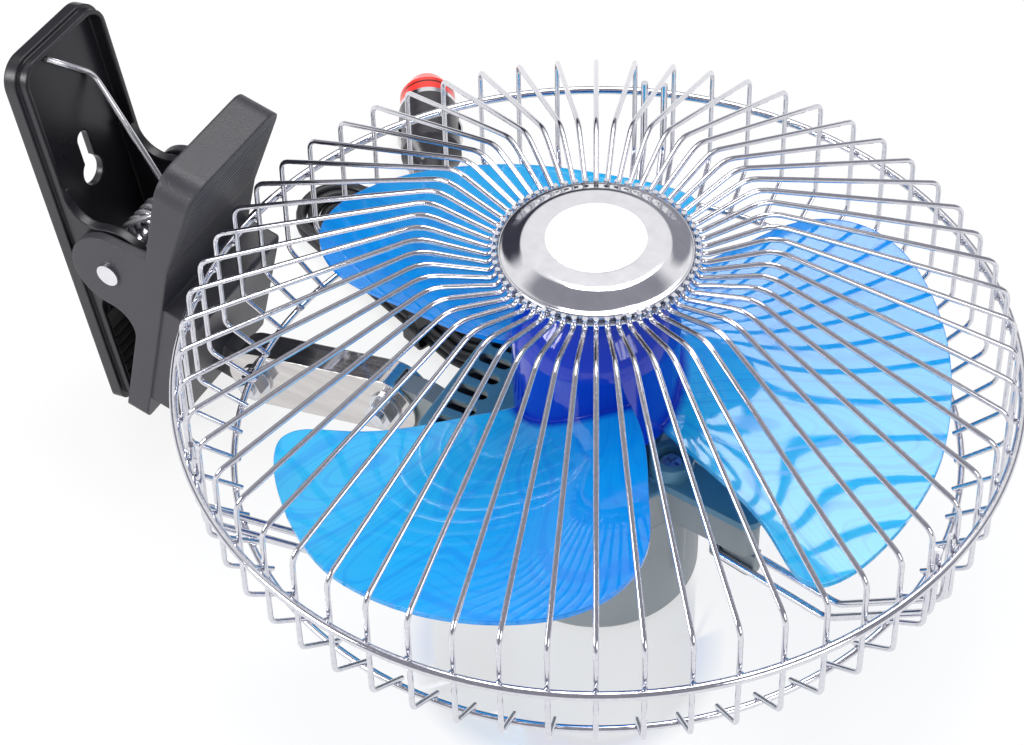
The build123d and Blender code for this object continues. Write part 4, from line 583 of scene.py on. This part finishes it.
# Clip jaws: satin black mouldings, a front jaw with the link's block, tongue, ears and a ribbed thumb grip, and a
# stepped rear jaw with the keyhole; they turn on a riveted pin.
jaw_black, mix = new_finish("jaw_black")
cloud = mix.noise(60.0, 3.0)
grain = mix.noise(3600.0, 2.0)
mix.surface(
    Base_Color=mix.blend(cloud, srgb(20, 20, 24), srgb(36, 35, 41)),
    Roughness=0.22 + 0.16 * cloud,
    Normal=mix.bump(grain, 0.00005, 0.35, 0.0009),
)
dress("rear_jaw", jaw_black)
thumb_black, mix = new_finish("thumb_black")
jaw_foot = Vector((-0.14285, 0.0, 0.009281))
jaw_lean = radians(13.93)
jaw_up = Vector((sin(jaw_lean), 0.0, cos(jaw_lean)))
jaw_out = Vector((cos(jaw_lean), 0.0, -sin(jaw_lean)))
at = mix.place()
rise = mix.along(at, jaw_up) - jaw_foot.dot(jaw_up)
out = mix.along(at, jaw_out) - jaw_foot.dot(jaw_out)
across = mix.add("SeparateXYZ", None, {0: at}, out="Y")
grip_foot, grip_top, grip_half_width, rib_pitch = 74.0 * MM, 100.5 * MM, 19.3 * MM, 2.2 * MM
grip = (rise > grip_foot) * (rise < grip_top) * (out > 0.2 * MM) * (across * across < grip_half_width**2)
ribs = (rise * (2 * pi / rib_pitch)).wave() * 0.5 + 0.5
cloud = mix.noise(60.0, 3.0)
grain = mix.noise(1900.0, 2.0)
# Painted light: the front jaw's black is painted lighter than the rear jaw's same black, for the light on its near
# side.
lit_jaw_black = mix.blend(cloud, srgb(42, 42, 47), srgb(60, 59, 65))
# Painted shade and highlight: the grip's ribs are painted dark in their grooves and light on their ridges, over
# their real relief.
painted_rib_shade = mix.blend(ribs, srgb(84, 83, 92), srgb(4, 4, 6))
mix.surface(
    Base_Color=mix.blend(grip, lit_jaw_black, painted_rib_shade),
    Roughness=0.34 + 0.16 * cloud,
    Normal=mix.bump(0.2 * grain - grip * ribs, 0.0006, 0.8, 0.0012),
)
dress("front_jaw", thumb_black)
dress("pivot_pin", polished_plate)

# Grip pads: ribbed rubber glued in the mouth of both jaws.
pad_rubber, mix = new_finish("pad_rubber")
dust = mix.noise(800.0, 4.0)
mix.surface(
    Base_Color=mix.blend(dust, srgb(24, 24, 24), srgb(52, 51, 50)),
    Roughness=0.62 + 0.2 * dust,
    Normal=mix.bump(dust, 0.0001, 0.6),
)
dress("front_pad rear_pad", pad_rubber)

# Torsion spring: bright spring wire coiled round the pin, one leg under each jaw, the long one hooked over.
# Its long leg bears on the rear jaw and its short leg on the front jaw.
spring_wire, mix = new_finish("spring_wire")
draw_marks = mix.noise(1500.0, 3.0)
mix.surface(
    Base_Color=mix.blend(draw_marks, srgb(206, 206, 212), srgb(240, 240, 243)),
    Metallic=0.75,
    Roughness=0.16 + 0.14 * draw_marks,
)
spring_bm = bmesh.new()
spring_bm.from_mesh(node["torsion_spring"].data)
wound_wire = add_piece("wound_wire", spring_bm, spring_wire, None, "chrome", "torsion_spring")
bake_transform(wound_wire)

# Cord: black twin-core sheath from the lobe's strain relief down to the table, folded into a tied hank of
# five and a half loops on two layers, with a short tail to the plug.
cord_thickness = 3.4 * MM
hank_run = 74.0
hank_along = Vector((cos(radians(158.6)), sin(radians(158.6)), 0))
hank_north = Vector((hank_along.y, -hank_along.x, 0))
hank_east = Vector((-72.0, 61.0, 0))
north_runs = [15.775, 11.875, 7.975]
south_runs = [-13.825, -9.925, -6.025]
layers = [3.0, 6.9]


def hank_at(along, lateral, height):
    """A point of the hank, in metres: along its runs, north of its middle, above the table."""
    return (hank_east + hank_along * along + hank_north * lateral + Vector((0, 0, height))) * MM


def half_turn(end, outward, before, after, height, after_height):
    """The points of one fold of the hank, round from one run to the next."""
    middle = (before + after) / 2
    radius = (before - after) / 2
    fold = []
    turn_shares = ((-0.577, 1, 0), (0.577, 1, 0.25), (1.155, 0, 0.5), (0.577, -1, 0.75), (-0.577, -1, 1))
    for reach, swing, share in turn_shares:
        level = height + (after_height - height) * share
        fold.append(hank_at(end + outward * abs(radius) * reach, middle + radius * swing, level))
    return fold


cord_points = [
    Vector((-36.0, 35.6, 17.0)) * MM,
    Vector((-36.0, 46.0, 15.6)) * MM,
    Vector((-38.0, 58.0, 10.6)) * MM,
    Vector((-45.0, 67.6, 5.4)) * MM,
    hank_at(-11.0, north_runs[0], layers[0]),
    hank_at(0.0, north_runs[0], layers[0]),
]
low, high = layers
folds = [
    (hank_run, 1, north_runs[0], south_runs[0], low, low),
    (0.0, -1, south_runs[0], north_runs[1], low, low),
    (hank_run, 1, north_runs[1], south_runs[1], low, low),
    (0.0, -1, south_runs[1], north_runs[2], low, low),
    (hank_run, 1, north_runs[2], south_runs[2], low, low),
    (0.0, -1, south_runs[2], north_runs[2], high, high),
    (hank_run, 1, north_runs[2], south_runs[1], high, high),
    (0.0, -1, south_runs[1], north_runs[1], high, high),
    (hank_run, 1, north_runs[1], south_runs[0], high, high),
    (0.0, -1, south_runs[0], north_runs[0], high, high),
]
for fold in folds:
    cord_points += half_turn(*fold)
plug_rear = Vector((-117.06, 108.40, 10.5)) * MM
plug_along = Vector((cos(radians(122.6)), sin(radians(122.6)), 0))
cord_points += [
    hank_at(26.0, north_runs[0], high),
    hank_at(35.0, north_runs[0], high),
    plug_rear - plug_along * 9.0 * MM,
    plug_rear,
]
cord_curve = bpy.data.curves.new("cord", "CURVE")
cord_curve.dimensions = "3D"
cord_line = cord_curve.splines.new("NURBS")
cord_line.points.add(len(cord_points) - 1)
for point, at in zip(cord_line.points, cord_points):
    point.co = (*at, 1.0)
cord_line.order_u = 3
cord_line.use_endpoint_u = True
cord_line.resolution_u = 6
cord_curve.bevel_depth = cord_thickness / 2
cord_curve.bevel_resolution = 4
cord_curve.use_fill_caps = True
cord = bpy.data.objects.new("cord", cord_curve)
bpy.context.scene.collection.objects.link(cord)
sheath_black, mix = new_finish("sheath_black")
smears = mix.noise(900.0, 3.0)
mix.surface(
    Base_Color=mix.blend(smears, srgb(20, 20, 22), srgb(38, 38, 42)),
    Roughness=0.38 + 0.2 * smears,
    Normal=mix.bump(mix.noise(2500.0), 0.00005),
)
cord_curve.materials.append(sheath_black)
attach(cord, "head")
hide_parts("cord_lead", "cord_hank", "cord_tail")

# Strain relief and hank tie: soft black mouldings, a ringed sleeve where the cord leaves the lobe and a ribbed strap
# pulled tight round the hank.
soft_black, mix = new_finish("soft_black")
dust = mix.noise(1100.0, 3.0)
mix.surface(
    Base_Color=mix.blend(dust, srgb(20, 20, 22), srgb(40, 40, 43)),
    Roughness=0.42 + 0.2 * dust,
    Normal=mix.bump(dust, 0.00006, 0.6),
)
dress("strain_relief", soft_black)
tie_black, mix = new_finish("tie_black")
teeth = mix.add("TexWave", {"bands_direction": "DIAGONAL"}, {"Vector": mix.place(), "Scale": 320.0})
dust = mix.noise(900.0, 3.0)
mix.surface(
    Base_Color=mix.blend(dust, srgb(18, 18, 20), srgb(36, 36, 39)),
    Roughness=0.34 + 0.2 * dust,
    Normal=mix.bump(teeth, 0.0001, 0.6),
)
dress("hank_tie", tie_black)

# Lighter plug: gloss black body with two sprung steel side contacts, a chrome band, and a screwed-on red nose with
# the sprung tip contact.
plug_black, mix = new_finish("plug_black")
haze = mix.noise(420.0, 3.0)
mix.surface(
    Base_Color=mix.blend(haze, srgb(40, 38, 42), srgb(64, 62, 66)),
    Roughness=0.16 + 0.14 * haze,
    Normal=mix.bump(mix.noise(2600.0), 0.00003, 0.4),
)
dress("plug_body", plug_black)
plug_red, mix = new_finish("plug_red")
along = mix.along(mix.place(), plug_along) - plug_rear.dot(plug_along)
line = (along > 0.0452) * (along < 0.0460)
haze = mix.noise(380.0, 2.0)
red = mix.blend(haze, srgb(226, 48, 42), srgb(240, 70, 60))
mix.surface(
    Base_Color=mix.blend(line, red, srgb(96, 24, 24)),
    Roughness=0.14 + 0.1 * haze,
    Normal=mix.bump(1.0 - line, 0.0003, 0.6),
)
dress("plug_nose", plug_red)
dress("plug_band", polished_plate)
contact_steel, mix = new_finish("contact_steel")
marks = mix.noise(1800.0, 3.0)
mix.surface(
    Base_Color=mix.blend(marks, srgb(190, 190, 194), srgb(226, 226, 228)),
    Metallic=1.0,
    Roughness=0.12 + 0.16 * marks,
)
dress("plug_contacts plug_tip_contact", contact_steel)

size = {"cad": cad_box, "visual": [list(corner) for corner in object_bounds()]}
